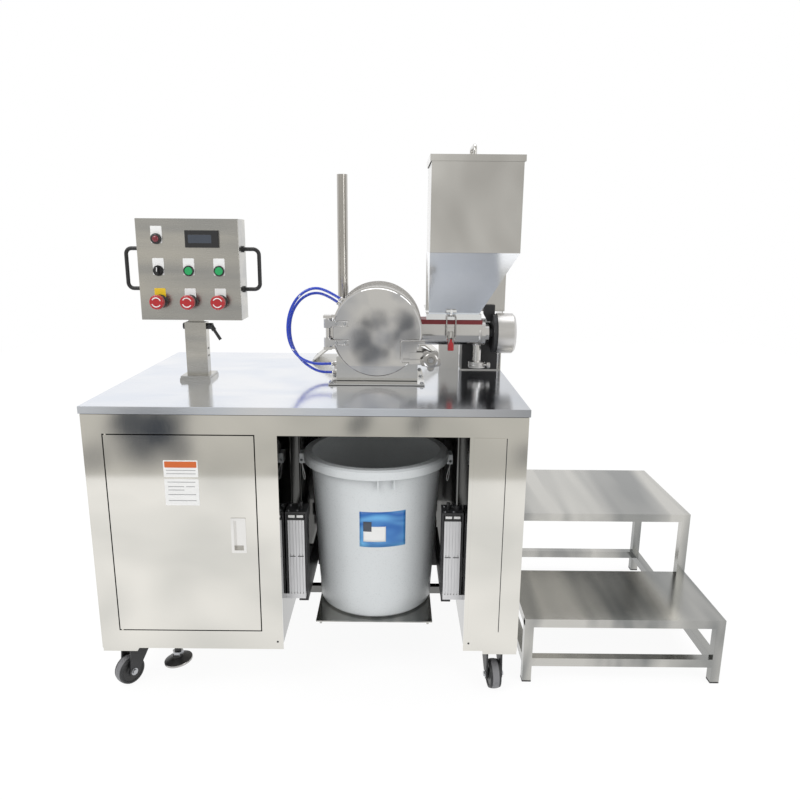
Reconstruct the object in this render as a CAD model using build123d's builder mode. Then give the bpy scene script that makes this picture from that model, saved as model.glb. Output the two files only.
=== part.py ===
"""Superfine pulverizer on a wheeled stainless cabinet.

A hopper and a screw feeder charge a hammer mill on the tabletop, the powder drops through the
table into a bucket on a pneumatic lift, and a tilting control panel stands at the left. A loose
two-tread step stands at the right.

Millimetres, +Z up, front towards -Y. The origin is the middle of the overall footprint, on the
floor. Places on the machine are given from the cabinet's centre line (x), its front face (y)
and the floor (z), and the function `at` turns them into the part's frame.
"""
import math
import os

from build123d import *

os.makedirs("parts", exist_ok=True)

# Fits
RUN = 0.05
SLIP = 0.4

# Cabinet and table
BODY_W = 1100.0
BODY_D = 818.0
TABLE_H = 815.0
TABLE_SHEET = 3.0
TABLE_EDGE = 19.0
SHEET = 3.0
SKIRT_Z = 154.0
PAN_Z = 170.0
LEFT_CAB_W = 481.0
BAY_W = 476.0
BAY_TOP_Z = 743.0
BAY_BACK_Y = 470.0
FLANGE = 25.0

# Loose step
STEP_GAP = 34.0
STEP_W = 556.0
STEP_FRONT_Y = 90.0
TREAD_LOW_D = 294.0
TREAD_HIGH_D = 424.0
TREAD_LOW_Z = 196.0
TREAD_HIGH_Z = 389.0
STEP_TUBE = 25.0
STEP_TUBE_WALL = 2.0
STEP_BAR_Z = 50.0
STEP_CAP_H = 8.0

# Cabinet door
DOOR_W = 371.0
DOOR_H = 533.0
DOOR_T = 20.0
DOOR_SHEET = 2.0
DOOR_LEFT_MARGIN = 52.0
DOOR_Z = 209.0
DOOR_GAP = 3.0
DOOR_PIN_R = 3.0
DOOR_PIN_IN = 4.0
PULL_W = 38.0
PULL_H = 95.0
PULL_Z = 431.0
PULL_EDGE = 28.0
PULL_DEPTH = 15.0

# Service panel in the right cabinet's front
SERVICE_W = 80.0
SERVICE_LEFT = 10.0
SERVICE_PROUD = 1.5

# Casters and levelling feet
CASTER_X = 498.0
CASTER_Y = 100.0
CASTER_H = 142.0
WHEEL_R = 40.0
WHEEL_W = 30.0
TREAD_EDGE_R = 37.0
DISH_R = 33.0
HUB_R = 14.0
DISH_T = 3.0
TRAIL = 30.0
AXLE_R = 6.0
KINGPIN_R = 8.0
PLATE_T = 6.0
CROWN_T = 8.0
CHEEK_T = 5.0
MOUNT_W = 90.0
MOUNT_D = 150.0
MOUNT_T = 12.0
FOOT_R = 38.0
FOOT_STEM_R = 9.0
FOOT_Z = 72.0
FOOT_TOP_Z = 240.0
FOOT_TILT = 8.0

# Mill
MILL_Z = 146.0
DRUM_R = 121.0
CHAMBER_R = 111.0
FRONT_FLANGE_R = 127.0
REAR_FLANGE_R = 130.0
FLANGE_T = 12.0
MILL_DOOR_Y = 285.0
MILL_DOOR_R = 123.0
MILL_DOOR_T = 12.0
DRUM_D = 203.0
SADDLE_W = 231.0
SADDLE_H = 75.0
SADDLE_WALL = 7.0
BASE_W = 270.0
BASE_D = 236.0
BASE_T = 5.0
LINER_R = 101.0
LINER_D = 95.0
LINER_TEETH = 40
ROTOR_R = 97.0
ROTOR_DISC_R = 78.0
HAMMERS = 12
SHAFT_R = 15.0
HINGE_X = 137.0
HINGE_PIN_R = 5.5
KNUCKLE_R = 11.0
LOCK_X = 150.0
LOCK_Z = -71.0
STUD_R = 6.0
KNOB_R = 30.0
SPOUT_R = 42.0
SPOUT_Y = 362.0
HOUSING_R = 45.0
HOUSING_D = 100.0
MOTOR_R = 72.0
MOTOR_D = 180.0
STAND_HALF_W = 228.0
STAND_TOP_HALF_W = 150.0

# Exhaust pipe
PIPE_R = 16.0
PIPE_WALL = 1.5
PIPE_X = 56.5
PIPE_Y = 552.0
PIPE_TOP = 587.0
CLAMP_L = 60.0
CLAMP_GROOVE = 2.0

# Feeder, its hopper and drive
FEED_Y = 450.0
FEED_Z = 126.0
TROUGH_R = 36.0
TROUGH_WALL = 3.0
TROUGH_TOP = 156.0
TROUGH_END_X = 477.0
SCREW_R = 29.0
SCREW_CORE_R = 10.0
SCREW_PITCH = 42.0
FLIGHT_T = 4.0
GASKET_T = 14.0
BASE_FLANGE_T = 16.0
HOPPER_X0 = 312.0
HOPPER_X1 = 555.0
HOPPER_Y0 = 275.0
HOPPER_Y1 = 487.0
THROAT_X0 = 318.0
THROAT_X1 = 466.0
THROAT_Y0 = 412.0
CONE_TOP = 366.0
HOPPER_TOP = 613.0
HOPPER_WALL = 2.0
LID_TOP = 617.0
LID_SKIRT = 17.0
LID_GAP = 2.0
DRIVE_DRUM_R = 60.0
DRIVE_DRUM_X = 523.0
DRIVE_DRUM_W = 54.0
COLUMN_X1 = 552.0
COLUMN_D = 150.0
COLUMN_SHEET = 3.0

# Toggle latch on the feeder
LATCH_X = 384.0
LATCH_Y = 402.0
LATCH_Z = 128.0
BAIL_PIVOT_Y = 396.0
BAIL_PIVOT_Z = 118.0
BAIL_R = 2.0
BAIL_W = 27.0
CATCH_Z = 180.0

# Control panel and its post
PANEL_X = -352.0
PANEL_W = 282.0
PANEL_H = 276.0
PANEL_D = 88.0
PANEL_Y = 315.0
PANEL_Z = 174.0
PANEL_SHEET = 2.0
TILT_Z = 152.0
POST_W = 61.0
POST_D = 32.0
POST_WALL = 3.0
TILT_PIN_R = 5.0
TILT_HUB_R = 12.0
TONGUE_W = 44.0
TONGUE_T = 9.0
COLUMN_PITCH = 84.0
LAMP_Z = 396.0
START_Z = 310.0
STOP_Z = 226.0
BUTTON_R = 11.0
BEZEL_R = 14.5
STOP_HEAD_R = 20.0
STOP_STEM_R = 9.0
METER_X = 41.0
METER_W = 92.0
METER_H = 46.0
HANDLE_R = 5.5
HANDLE_OUT = 46.0
HANDLE_Z0 = 258.0
HANDLE_Z1 = 369.0

# Bucket and its lift
BUCKET_Y = 243.0
BUCKET_R0 = 160.0
BUCKET_R1 = 183.0
BUCKET_H = 440.0
BUCKET_WALL = 3.0
RIM_R = 203.5
RIM_H = 26.0
PLATFORM_Z = 200.0
PLATFORM_W = 318.0
PLATFORM_Y0 = 66.0
PLATFORM_T = 3.0
CYL_W = 44.0
CYL_Y0 = 75.0
CYL_D = 54.0
CYL_Z0 = 276.0
CYL_Z1 = 507.0
CYL_WALL_GAP = 8.0
FOOT_PLATE = 14.0
CAP_T = 6.0
PISTON_R = 5.0
GUIDE_R = 4.0
ROD_OFF = 11.0
FRONT_GUIDE_OFF = 17.5
REAR_GUIDE_OFF = 14.0
REAR_GUIDE_Y = 300.0
BUSH_R = 9.0
BUSH_H = 12.0
HOOD_R = 205.0
HOOD_Z = 734.0
HOOD_T = 8.0

# Cooling hoses
HOSE_R = 4.0
HOSE_YS = (345.0, 362.0)
UPPER_UNION_ANGLES = (140.0, 146.0)
LOWER_UNION_ZS = (48.0, 20.0)
UNION_L = 16.0

# Worked out from the sizes above
TABLE_W = BODY_W + 2 * TABLE_SHEET
TABLE_D = BODY_D + 2 * TABLE_SHEET
OVERALL_W = TABLE_W + STEP_GAP + STEP_W
MX = TABLE_W / 2 - OVERALL_W / 2
FY = -TABLE_D / 2 + TABLE_SHEET
CAB_TOP = TABLE_H - TABLE_SHEET
BODY_L = -BODY_W / 2
BODY_R = BODY_W / 2
BAY_L = BODY_L + LEFT_CAB_W
BAY_R = BAY_L + BAY_W
BAY_X = (BAY_L + BAY_R) / 2
MILL_X = BAY_X
DRUM_Y0 = MILL_DOOR_Y + MILL_DOOR_T
DRUM_Y1 = DRUM_Y0 + DRUM_D
DOOR_X0 = BODY_L + DOOR_LEFT_MARGIN
DOOR_X1 = DOOR_X0 + DOOR_W
STEP_X0 = BODY_R + TABLE_SHEET + STEP_GAP
STEP_X1 = STEP_X0 + STEP_W
STEP_MID_Y = STEP_FRONT_Y + TREAD_LOW_D
STEP_BACK_Y = STEP_MID_Y + TREAD_HIGH_D
CYL_MID = CYL_WALL_GAP + CYL_W / 2
CYL_MID_Y = CYL_Y0 + CYL_D / 2


def at(x, y, z=0.0):
    """A point in the part's frame, from the cabinet's centre line, front face and floor."""
    return (MX + x, FY + y, z)


def on_table(x, y, z=0.0):
    """The same, with z counted from the tabletop."""
    return at(x, y, TABLE_H + z)


def block(x0, x1, y0, y1, z0, z1, mode=Mode.ADD):
    """A box between two corners of the machine, added to the part being built."""
    with Locations(at((x0 + x1) / 2, (y0 + y1) / 2, (z0 + z1) / 2)):
        Box(x1 - x0, y1 - y0, z1 - z0, mode=mode)


def table_block(x0, x1, y0, y1, z0, z1, mode=Mode.ADD):
    """A box with z counted from the tabletop."""
    block(x0, x1, y0, y1, TABLE_H + z0, TABLE_H + z1, mode)


def rod(start, direction, length, radius, mode=Mode.ADD):
    """A round bar from a point along a direction, added to the part being built."""
    with Locations(Plane(origin=start, z_dir=direction)):
        Cylinder(radius, length, align=(Align.CENTER, Align.CENTER, Align.MIN), mode=mode)


def lift_x(side, off_wall):
    """An x place on one side of the bay, from its wall towards the middle."""
    return BAY_X + side * (BAY_W / 2 - off_wall)


def save(builder, name):
    """Names a finished piece and writes it."""
    builder.part.label = name
    export_step(builder.part, f"parts/{name}.step")


def save_part(part, name):
    """Names a finished copy and writes it."""
    part.label = name
    export_step(part, f"parts/{name}.step")


# Places of the four corners: name, side along x, distance of the caster and foot along x and y
MOUNT_Z = CASTER_H
FOOT_PLACES = {
    "front_left": (-374.0, 70.0),
    "front_right": (478.0, 208.0),
    "rear_left": (-374.0, BODY_D - 70.0),
    "rear_right": (478.0, BODY_D - 208.0),
}
CASTER_PLACES = {
    "front_left": (-CASTER_X, CASTER_Y, -35.0),
    "front_right": (CASTER_X, CASTER_Y, 6.0),
    "rear_left": (-CASTER_X, BODY_D - CASTER_Y, 150.0),
    "rear_right": (CASTER_X, BODY_D - CASTER_Y, 195.0),
}


def cabinet_walls(x0, x1, bay_side):
    """Adds one side cabinet: walls, bottom pan, skirt, top flange, caster mounts and foot nuts."""
    block(x0, x1, 0, BODY_D, SKIRT_Z, CAB_TOP)
    block(x0 + SHEET, x1 - SHEET, SHEET, BODY_D - SHEET, PAN_Z + SHEET, CAB_TOP - SHEET, Mode.SUBTRACT)
    block(x0 + FLANGE, x1 - FLANGE, FLANGE, BODY_D - FLANGE, CAB_TOP - SHEET, CAB_TOP, Mode.SUBTRACT)
    block(x0 + SHEET, x1 - SHEET, SHEET, BODY_D - SHEET, SKIRT_Z, PAN_Z, Mode.SUBTRACT)
    skirt_x = x1 - SHEET if bay_side > 0 else x0
    block(skirt_x, skirt_x + SHEET, SHEET, BODY_D - SHEET, SKIRT_Z, PAN_Z, Mode.SUBTRACT)
    for x, y, _ in CASTER_PLACES.values():
        if x0 < x < x1:
            y_near = 4.0 if y < BODY_D / 2 else BODY_D - 4.0 - MOUNT_D
            mount_x = math.copysign(BODY_W / 2 - MOUNT_W / 2, x)
            block(mount_x - MOUNT_W / 2, mount_x + MOUNT_W / 2, y_near, y_near + MOUNT_D,
                  MOUNT_Z, MOUNT_Z + MOUNT_T)
            block(mount_x - 35, mount_x + 35, y_near + 8, y_near + MOUNT_D - 8, MOUNT_Z + MOUNT_T, PAN_Z)
    for x, y in FOOT_PLACES.values():
        if x0 < x < x1:
            rod(at(x, y, SKIRT_Z), (0, 0, 1), PAN_Z - SKIRT_Z, FOOT_STEM_R * 2)
            rod(at(x, y, SKIRT_Z), (0, 0, 1), PAN_Z - SKIRT_Z + SHEET, FOOT_STEM_R + RUN, Mode.SUBTRACT)


# Left cabinet, with its door opening and the two lugs that hold the door's pins
DOOR_AXIS_X = DOOR_X0 + DOOR_PIN_IN
with BuildPart() as left_cabinet:
    cabinet_walls(BODY_L, BAY_L, 1)
    block(DOOR_X0 - DOOR_GAP, DOOR_X1 + DOOR_GAP, 0, SHEET,
          DOOR_Z - DOOR_GAP, DOOR_Z + DOOR_H + DOOR_GAP, Mode.SUBTRACT)
    for z in (DOOR_Z - DOOR_GAP - 8, DOOR_Z + DOOR_H + DOOR_GAP):
        block(DOOR_AXIS_X - 12, DOOR_AXIS_X + 12, DOOR_PIN_R - 2, DOOR_T, z, z + 8)
        rod(at(DOOR_AXIS_X, DOOR_PIN_IN, z), (0, 0, 1), 8, DOOR_PIN_R + RUN, Mode.SUBTRACT)
save(left_cabinet, "left_cabinet")

# Right cabinet, with the opening behind its service panel
SERVICE_X0 = BAY_R + SERVICE_LEFT
with BuildPart() as right_cabinet:
    cabinet_walls(BAY_R, BODY_R, -1)
    block(SERVICE_X0 + 8, SERVICE_X0 + SERVICE_W - 8, 0, SHEET, DOOR_Z + 8, DOOR_Z + DOOR_H - 8,
          Mode.SUBTRACT)
    block(SERVICE_X0, SERVICE_X0 + SERVICE_W, -SERVICE_PROUD, 0, DOOR_Z, DOOR_Z + DOOR_H)
save(right_cabinet, "right_cabinet")

# Frame between the cabinets: rails, the bay's back, crossbars and the lift's guide rods
with BuildPart() as top_frame:
    for y, y_flange in ((0.0, 0.0), (BODY_D - SHEET, BODY_D - FLANGE)):
        block(BAY_L, BAY_R, y, y + SHEET, BAY_TOP_Z, CAB_TOP)
        block(BAY_L, BAY_R, y_flange, y_flange + FLANGE, BAY_TOP_Z, BAY_TOP_Z + SHEET)
    block(BAY_L, BAY_R, BAY_BACK_Y, BAY_BACK_Y + SHEET, PLATFORM_Z, CAB_TOP)
    for y in (330.0, BODY_D - 30.0):
        block(BAY_L - 40, BAY_R + 40, y - 11, y + 11, PAN_Z - 22, PAN_Z)
    for y in (262.0, 505.0):
        block(BAY_L, BAY_R, y, y + FLANGE, CAB_TOP - FLANGE, CAB_TOP)
    rod(at(lift_x(-1, REAR_GUIDE_OFF), REAR_GUIDE_Y, 240), (0, 0, 1), CAB_TOP - 240, GUIDE_R)
    rod(at(lift_x(1, FRONT_GUIDE_OFF), CYL_MID_Y, CYL_Z1 - SLIP), (0, 0, 1), CAB_TOP - CYL_Z1 + SLIP, GUIDE_R)
save(top_frame, "top_frame")

# Tabletop: a folded pan with its edge turned down round the cabinets
with BuildPart() as tabletop:
    block(-TABLE_W / 2, TABLE_W / 2, -TABLE_SHEET, BODY_D + TABLE_SHEET, TABLE_H - TABLE_EDGE, TABLE_H)
    block(BODY_L, BODY_R, 0, BODY_D, TABLE_H - TABLE_EDGE, CAB_TOP, Mode.SUBTRACT)
    rod(on_table(MILL_X, SPOUT_Y, -TABLE_SHEET), (0, 0, 1), TABLE_SHEET, SPOUT_R, Mode.SUBTRACT)
    rod(on_table(PIPE_X, PIPE_Y, -TABLE_SHEET), (0, 0, 1), TABLE_SHEET, PIPE_R, Mode.SUBTRACT)
    chamfer(tabletop.edges().filter_by(Axis.Z, reverse=True).group_by(Axis.Z)[-1]
            .filter_by(GeomType.LINE), 1.0)
save(tabletop, "tabletop")

# Cabinet door: a folded pan with hinge pins at its top and bottom corner
with BuildPart() as cabinet_door:
    block(DOOR_X0, DOOR_X1, 0, DOOR_T, DOOR_Z, DOOR_Z + DOOR_H)
    block(DOOR_X0 + DOOR_SHEET, DOOR_X1 - DOOR_SHEET, DOOR_SHEET, DOOR_T,
          DOOR_Z + DOOR_SHEET, DOOR_Z + DOOR_H - DOOR_SHEET, Mode.SUBTRACT)
    for z in (DOOR_Z, DOOR_Z + DOOR_H - 14):
        block(DOOR_X0, DOOR_X0 + 14, 0, 14, z, z + 14)
    rod(at(DOOR_AXIS_X, DOOR_PIN_IN, DOOR_Z - 9), (0, 0, 1), 12, DOOR_PIN_R)
    rod(at(DOOR_AXIS_X, DOOR_PIN_IN, DOOR_Z + DOOR_H - 3), (0, 0, 1), 12, DOOR_PIN_R)
    block(DOOR_X1 - PULL_EDGE - PULL_W + 4, DOOR_X1 - PULL_EDGE - 4, 0, DOOR_SHEET,
          PULL_Z + 4, PULL_Z + PULL_H - 4, Mode.SUBTRACT)
save(cabinet_door, "cabinet_door")

# Recessed pull: a flanged cup let into the door
PULL_X0 = DOOR_X1 - PULL_EDGE - PULL_W
with BuildPart() as door_pull:
    block(PULL_X0, PULL_X0 + PULL_W, -2, 0, PULL_Z, PULL_Z + PULL_H)
    block(PULL_X0 + 4, PULL_X0 + PULL_W - 4, 0, PULL_DEPTH, PULL_Z + 4, PULL_Z + PULL_H - 4)
    block(PULL_X0 + 7, PULL_X0 + PULL_W - 7, -2, PULL_DEPTH - 2, PULL_Z + 7, PULL_Z + PULL_H - 7,
          Mode.SUBTRACT)
    fillet(door_pull.edges().filter_by(Axis.Y).group_by(Axis.Y)[0], 2.0)
save(door_pull, "door_pull")


# Casters: fixed top plates, swivelling forks and wheels
RACE_Z = CASTER_H - PLATE_T
CROWN_Z = RACE_Z - 8.0
with BuildPart() as caster_plates:
    for x, y, _ in CASTER_PLACES.values():
        block(x - 31, x + 31, y - 46, y + 46, CASTER_H - PLATE_T, CASTER_H)
        rod(at(x, y, CROWN_Z + SLIP), (0, 0, 1), RACE_Z - CROWN_Z - SLIP, 22)
        rod(at(x, y, CROWN_Z - CROWN_T - 4), (0, 0, 1), RACE_Z - CROWN_Z + CROWN_T + 4, KINGPIN_R)
        rod(at(x, y, CROWN_Z - CROWN_T - 4 - SLIP), (0, 0, 1), 4, 12)
save(caster_plates, "caster_plates")

with BuildPart() as fork:
    with BuildSketch(Plane.XY.offset(CROWN_Z - CROWN_T)):
        SlotCenterToCenter(22, 46, rotation=90)
    extrude(amount=CROWN_T)
    for side in (-1, 1):
        cheek_x = side * (WHEEL_W / 2 + 2.5 + CHEEK_T / 2)
        with BuildSketch(Plane.YZ.offset(cheek_x - CHEEK_T / 2)):
            with BuildLine():
                Polyline((24, CROWN_Z), (-34, CROWN_Z), (-TRAIL - 13, WHEEL_R), (-TRAIL + 12, WHEEL_R - 6),
                         (24, CROWN_Z - 34), close=True)
            make_face()
            with Locations((-TRAIL, WHEEL_R)):
                Circle(14)
        extrude(amount=CHEEK_T)
    rod((-WHEEL_W / 2 - 12, -TRAIL, WHEEL_R), (1, 0, 0), WHEEL_W + 24, AXLE_R)
    rod((0, 0, CROWN_Z - CROWN_T), (0, 0, 1), CROWN_T, KINGPIN_R + RUN, Mode.SUBTRACT)

with BuildPart() as wheel:
    with BuildSketch(Plane.XZ):
        with BuildLine():
            Polyline((AXLE_R + RUN, -WHEEL_W / 2), (AXLE_R + RUN, WHEEL_W / 2), (HUB_R, WHEEL_W / 2),
                     (HUB_R + DISH_T, WHEEL_W / 2 - DISH_T), (DISH_R - DISH_T, WHEEL_W / 2 - DISH_T),
                     (DISH_R, WHEEL_W / 2), (TREAD_EDGE_R, WHEEL_W / 2))
            ThreePointArc((TREAD_EDGE_R, WHEEL_W / 2), (WHEEL_R, 0), (TREAD_EDGE_R, -WHEEL_W / 2))
            Polyline((TREAD_EDGE_R, -WHEEL_W / 2), (DISH_R, -WHEEL_W / 2),
                     (DISH_R - DISH_T, DISH_T - WHEEL_W / 2), (HUB_R + DISH_T, DISH_T - WHEEL_W / 2),
                     (HUB_R, -WHEEL_W / 2), (AXLE_R + RUN, -WHEEL_W / 2))
        make_face()
    revolve(axis=Axis.Z)
wheel_upright = wheel.part.rotate(Axis.Y, 90).moved(Location((0, -TRAIL, WHEEL_R)))

for corner, (x, y, yaw) in CASTER_PLACES.items():
    place = Location(at(x, y), (0, 0, yaw))
    save_part(fork.part.moved(place), f"caster_fork_{corner}")
    save_part(wheel_upright.moved(place), f"caster_wheel_{corner}")


# Levelling feet: a screw with a ball-jointed pad, the front left one hanging tilted
def levelling_foot(x, y, tilt):
    """A screw with its pad, raised clear of the floor."""
    with BuildPart() as foot:
        with BuildSketch(Plane.XZ):
            with BuildLine():
                Polyline((0, 0), (FOOT_R - 2, 0), (FOOT_R, 3), (FOOT_R, 6), (15, 15), (12, 22), (0, 22),
                         close=True)
            make_face()
        revolve(axis=Axis.Z)
    pad = foot.part.rotate(Axis.Y, tilt).moved(Location(at(x, y, FOOT_Z)))
    with BuildPart() as stem:
        rod(at(x, y, FOOT_Z + 14), (0, 0, 1), FOOT_TOP_Z - FOOT_Z - 14, FOOT_STEM_R)
        add(pad)
    return stem.part


for corner, (x, y) in FOOT_PLACES.items():
    tilt = -FOOT_TILT if corner == "front_left" else 0.0
    save_part(levelling_foot(x, y, tilt), f"leveling_foot_{corner}")


# Mill saddle: the base flange and the cradle that the drum lies in
MILL_TOP_Z = TABLE_H + MILL_Z
with BuildPart() as mill_saddle:
    table_block(MILL_X - BASE_W / 2, MILL_X + BASE_W / 2, 266, 266 + BASE_D, 0, BASE_T)
    with BuildSketch(Plane(origin=at(MILL_X, DRUM_Y0 + FLANGE_T, MILL_TOP_Z), x_dir=(1, 0, 0),
                           z_dir=(0, -1, 0))):
        with Locations((0, BASE_T - MILL_Z + (SADDLE_H - BASE_T) / 2)):
            Rectangle(SADDLE_W, SADDLE_H - BASE_T)
        Circle(DRUM_R, mode=Mode.SUBTRACT)
    extrude(amount=-(DRUM_D - 2 * FLANGE_T))
    table_block(MILL_X - SADDLE_W / 2 + SADDLE_WALL, MILL_X + SADDLE_W / 2 - SADDLE_WALL,
                DRUM_Y0 + FLANGE_T + SADDLE_WALL, DRUM_Y1 - FLANGE_T - SADDLE_WALL, BASE_T, SADDLE_H,
                Mode.SUBTRACT)
    rod(on_table(MILL_X, SPOUT_Y), (0, 0, 1), SADDLE_H, SPOUT_R + SLIP, Mode.SUBTRACT)
    for y, z in zip(HOSE_YS, LOWER_UNION_ZS):
        rod(on_table(MILL_X - SADDLE_W / 2 + SADDLE_WALL, y, z), (-1, 0, 0), SADDLE_WALL + UNION_L, 6.0)
        rod(on_table(MILL_X - SADDLE_W / 2 + SADDLE_WALL, y, z), (-1, 0, 0), SADDLE_WALL + 6, 8.0)
save(mill_saddle, "mill_saddle")

# Mill drum: jacketed shell, flanges, hinge bracket, lock lug and hose unions
FEED_CUT_R = TROUGH_R - TROUGH_WALL
with BuildPart() as mill_drum:
    with BuildSketch(Plane(origin=at(MILL_X, DRUM_Y0, MILL_TOP_Z), x_dir=(1, 0, 0), z_dir=(0, 1, 0))):
        Circle(FRONT_FLANGE_R)
    extrude(amount=FLANGE_T)
    with BuildSketch(Plane(origin=at(MILL_X, DRUM_Y0, MILL_TOP_Z), x_dir=(1, 0, 0), z_dir=(0, 1, 0))):
        Circle(DRUM_R)
    extrude(amount=DRUM_D)
    with BuildSketch(Plane(origin=at(MILL_X, DRUM_Y1 - FLANGE_T, MILL_TOP_Z), x_dir=(1, 0, 0),
                           z_dir=(0, 1, 0))):
        Circle(REAR_FLANGE_R)
    extrude(amount=FLANGE_T)
    for z_lug in (40.0, -48.0):
        table_block(MILL_X - HINGE_X - KNUCKLE_R, MILL_X - HINGE_X + KNUCKLE_R, MILL_DOOR_Y - 5,
                    DRUM_Y0 + 18, MILL_Z + z_lug, MILL_Z + z_lug + 8)
        table_block(MILL_X - HINGE_X, MILL_X - HINGE_X + 34, DRUM_Y0, DRUM_Y0 + FLANGE_T,
                    MILL_Z + z_lug, MILL_Z + z_lug + 8)
    table_block(MILL_X - HINGE_X - 7, MILL_X - HINGE_X + KNUCKLE_R, DRUM_Y0 + 8, DRUM_Y0 + 18,
                MILL_Z - 48, MILL_Z + 48)
    rod(on_table(MILL_X - HINGE_X, MILL_DOOR_Y + 6, MILL_Z - 48), (0, 0, 1), 96, HINGE_PIN_R)
    with BuildSketch(Plane(origin=at(MILL_X, DRUM_Y0 + SLIP, MILL_TOP_Z), x_dir=(1, 0, 0),
                           z_dir=(0, -1, 0))):
        with BuildLine():
            Polyline((90, -85), (100, -30), (LOCK_X + 4, LOCK_Z + 17), (LOCK_X + 16, LOCK_Z),
                     (LOCK_X + 4, LOCK_Z - 17), close=True)
        make_face()
    extrude(amount=-(FLANGE_T - SLIP))
    rod(at(MILL_X, DRUM_Y0, MILL_TOP_Z), (0, 1, 0), DRUM_D - FLANGE_T, CHAMBER_R, Mode.SUBTRACT)
    rod(at(MILL_X, DRUM_Y0, MILL_TOP_Z), (0, 1, 0), DRUM_D, SHAFT_R + 1, Mode.SUBTRACT)
    rod(on_table(MILL_X + LOCK_X, DRUM_Y0, MILL_Z + LOCK_Z), (0, 1, 0), FLANGE_T, STUD_R + RUN,
        Mode.SUBTRACT)
    rod(on_table(MILL_X, FEED_Y, FEED_Z), (1, 0, 0), DRUM_R, FEED_CUT_R, Mode.SUBTRACT)
    rod(on_table(MILL_X, SPOUT_Y, 0), (0, 0, 1), MILL_Z, SPOUT_R - 4, Mode.SUBTRACT)
    for y, angle in zip(HOSE_YS, UPPER_UNION_ANGLES):
        out = (math.cos(math.radians(angle)), 0, math.sin(math.radians(angle)))
        root = on_table(MILL_X + (DRUM_R - 3) * out[0], y, MILL_Z + (DRUM_R - 3) * out[2])
        rod(root, out, UNION_L + 3, 6.0)
        rod(root, out, 9, 8.0)
save(mill_drum, "mill_drum")

# Toothed grinding liner inside the drum
with BuildPart() as mill_liner:
    with BuildSketch(Plane(origin=at(MILL_X, 315, MILL_TOP_Z), x_dir=(1, 0, 0), z_dir=(0, 1, 0))):
        Circle(CHAMBER_R)
        with PolarLocations(0, LINER_TEETH):
            with Locations((LINER_R, 0)):
                Rectangle(10, 9, mode=Mode.SUBTRACT)
        Circle(LINER_R - 1, mode=Mode.SUBTRACT)
    extrude(amount=LINER_D)
    rod(on_table(MILL_X, SPOUT_Y, 0), (0, 0, 1), MILL_Z, SPOUT_R - 4, Mode.SUBTRACT)
save(mill_liner, "mill_liner")

# Mill door: a disc with two hinge straps and the lock's bracket
with BuildPart() as mill_door:
    rod(at(MILL_X, MILL_DOOR_Y, MILL_TOP_Z), (0, 1, 0), MILL_DOOR_T, MILL_DOOR_R)
    chamfer(mill_door.edges().filter_by(GeomType.CIRCLE).group_by(Axis.Y)[0], 2.0)
    with BuildSketch(Plane(origin=at(MILL_X, MILL_DOOR_Y + MILL_DOOR_T, MILL_TOP_Z), x_dir=(1, 0, 0),
                           z_dir=(0, -1, 0))):
        Circle(117)
        Circle(112, mode=Mode.SUBTRACT)
    extrude(amount=4, mode=Mode.SUBTRACT)
    for z_mid in (25.0, -27.0):
        table_block(MILL_X - HINGE_X, MILL_X - HINGE_X + 60, MILL_DOOR_Y - 6, MILL_DOOR_Y,
                    MILL_Z + z_mid - 8, MILL_Z + z_mid + 8)
        rod(on_table(MILL_X - HINGE_X, MILL_DOOR_Y + 6, MILL_Z + z_mid - 12), (0, 0, 1), 24, KNUCKLE_R)
        rod(on_table(MILL_X - HINGE_X, MILL_DOOR_Y + 6, MILL_Z + z_mid - 12), (0, 0, 1), 24,
            HINGE_PIN_R + RUN, Mode.SUBTRACT)
    table_block(MILL_X + 66, MILL_X + 134, MILL_DOOR_Y - 19, MILL_DOOR_Y, MILL_Z - 80, MILL_Z - 20)
    table_block(MILL_X + 73, MILL_X + 134, MILL_DOOR_Y - 19, MILL_DOOR_Y, MILL_Z - 73, MILL_Z - 27,
                Mode.SUBTRACT)
    table_block(MILL_X + 92, MILL_X + LOCK_X, MILL_DOOR_Y - 6, MILL_DOOR_Y + 2, MILL_Z - 86, MILL_Z - 54)
    rod(on_table(MILL_X + LOCK_X, MILL_DOOR_Y - 12, MILL_Z + LOCK_Z), (0, 1, 0), 12 + MILL_DOOR_T, 15)
    rod(on_table(MILL_X + LOCK_X, MILL_DOOR_Y - 12, MILL_Z + LOCK_Z), (0, 1, 0), 12 + MILL_DOOR_T,
        STUD_R + RUN, Mode.SUBTRACT)
save(mill_door, "mill_door")

with BuildPart() as mill_door_seal:
    with BuildSketch(Plane(origin=at(MILL_X, DRUM_Y0, MILL_TOP_Z), x_dir=(1, 0, 0), z_dir=(0, -1, 0))):
        Circle(117)
        Circle(112, mode=Mode.SUBTRACT)
    extrude(amount=4)
save(mill_door_seal, "mill_door_seal")

# Star knob on the captive clamping screw
with BuildPart() as star_knob:
    knob_y = MILL_DOOR_Y - 36
    with BuildSketch(Plane(origin=on_table(MILL_X + LOCK_X, knob_y, MILL_Z + LOCK_Z), x_dir=(1, 0, 0),
                           z_dir=(0, 1, 0))):
        Circle(22)
        with PolarLocations(KNOB_R - 10, 5, start_angle=90):
            Circle(10)
    extrude(amount=16)
    chamfer(star_knob.edges().group_by(Axis.Y)[0], 2.0)
    rod(on_table(MILL_X + LOCK_X, knob_y + 16, MILL_Z + LOCK_Z), (0, 1, 0), 8 - SLIP, 14)
    rod(on_table(MILL_X + LOCK_X, knob_y + 10, MILL_Z + LOCK_Z), (0, 1, 0), 26 + MILL_DOOR_T, STUD_R)
    rod(on_table(MILL_X + LOCK_X, knob_y, MILL_Z + LOCK_Z), (0, 1, 0), 3, 9, Mode.SUBTRACT)
save(star_knob, "star_knob")

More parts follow.
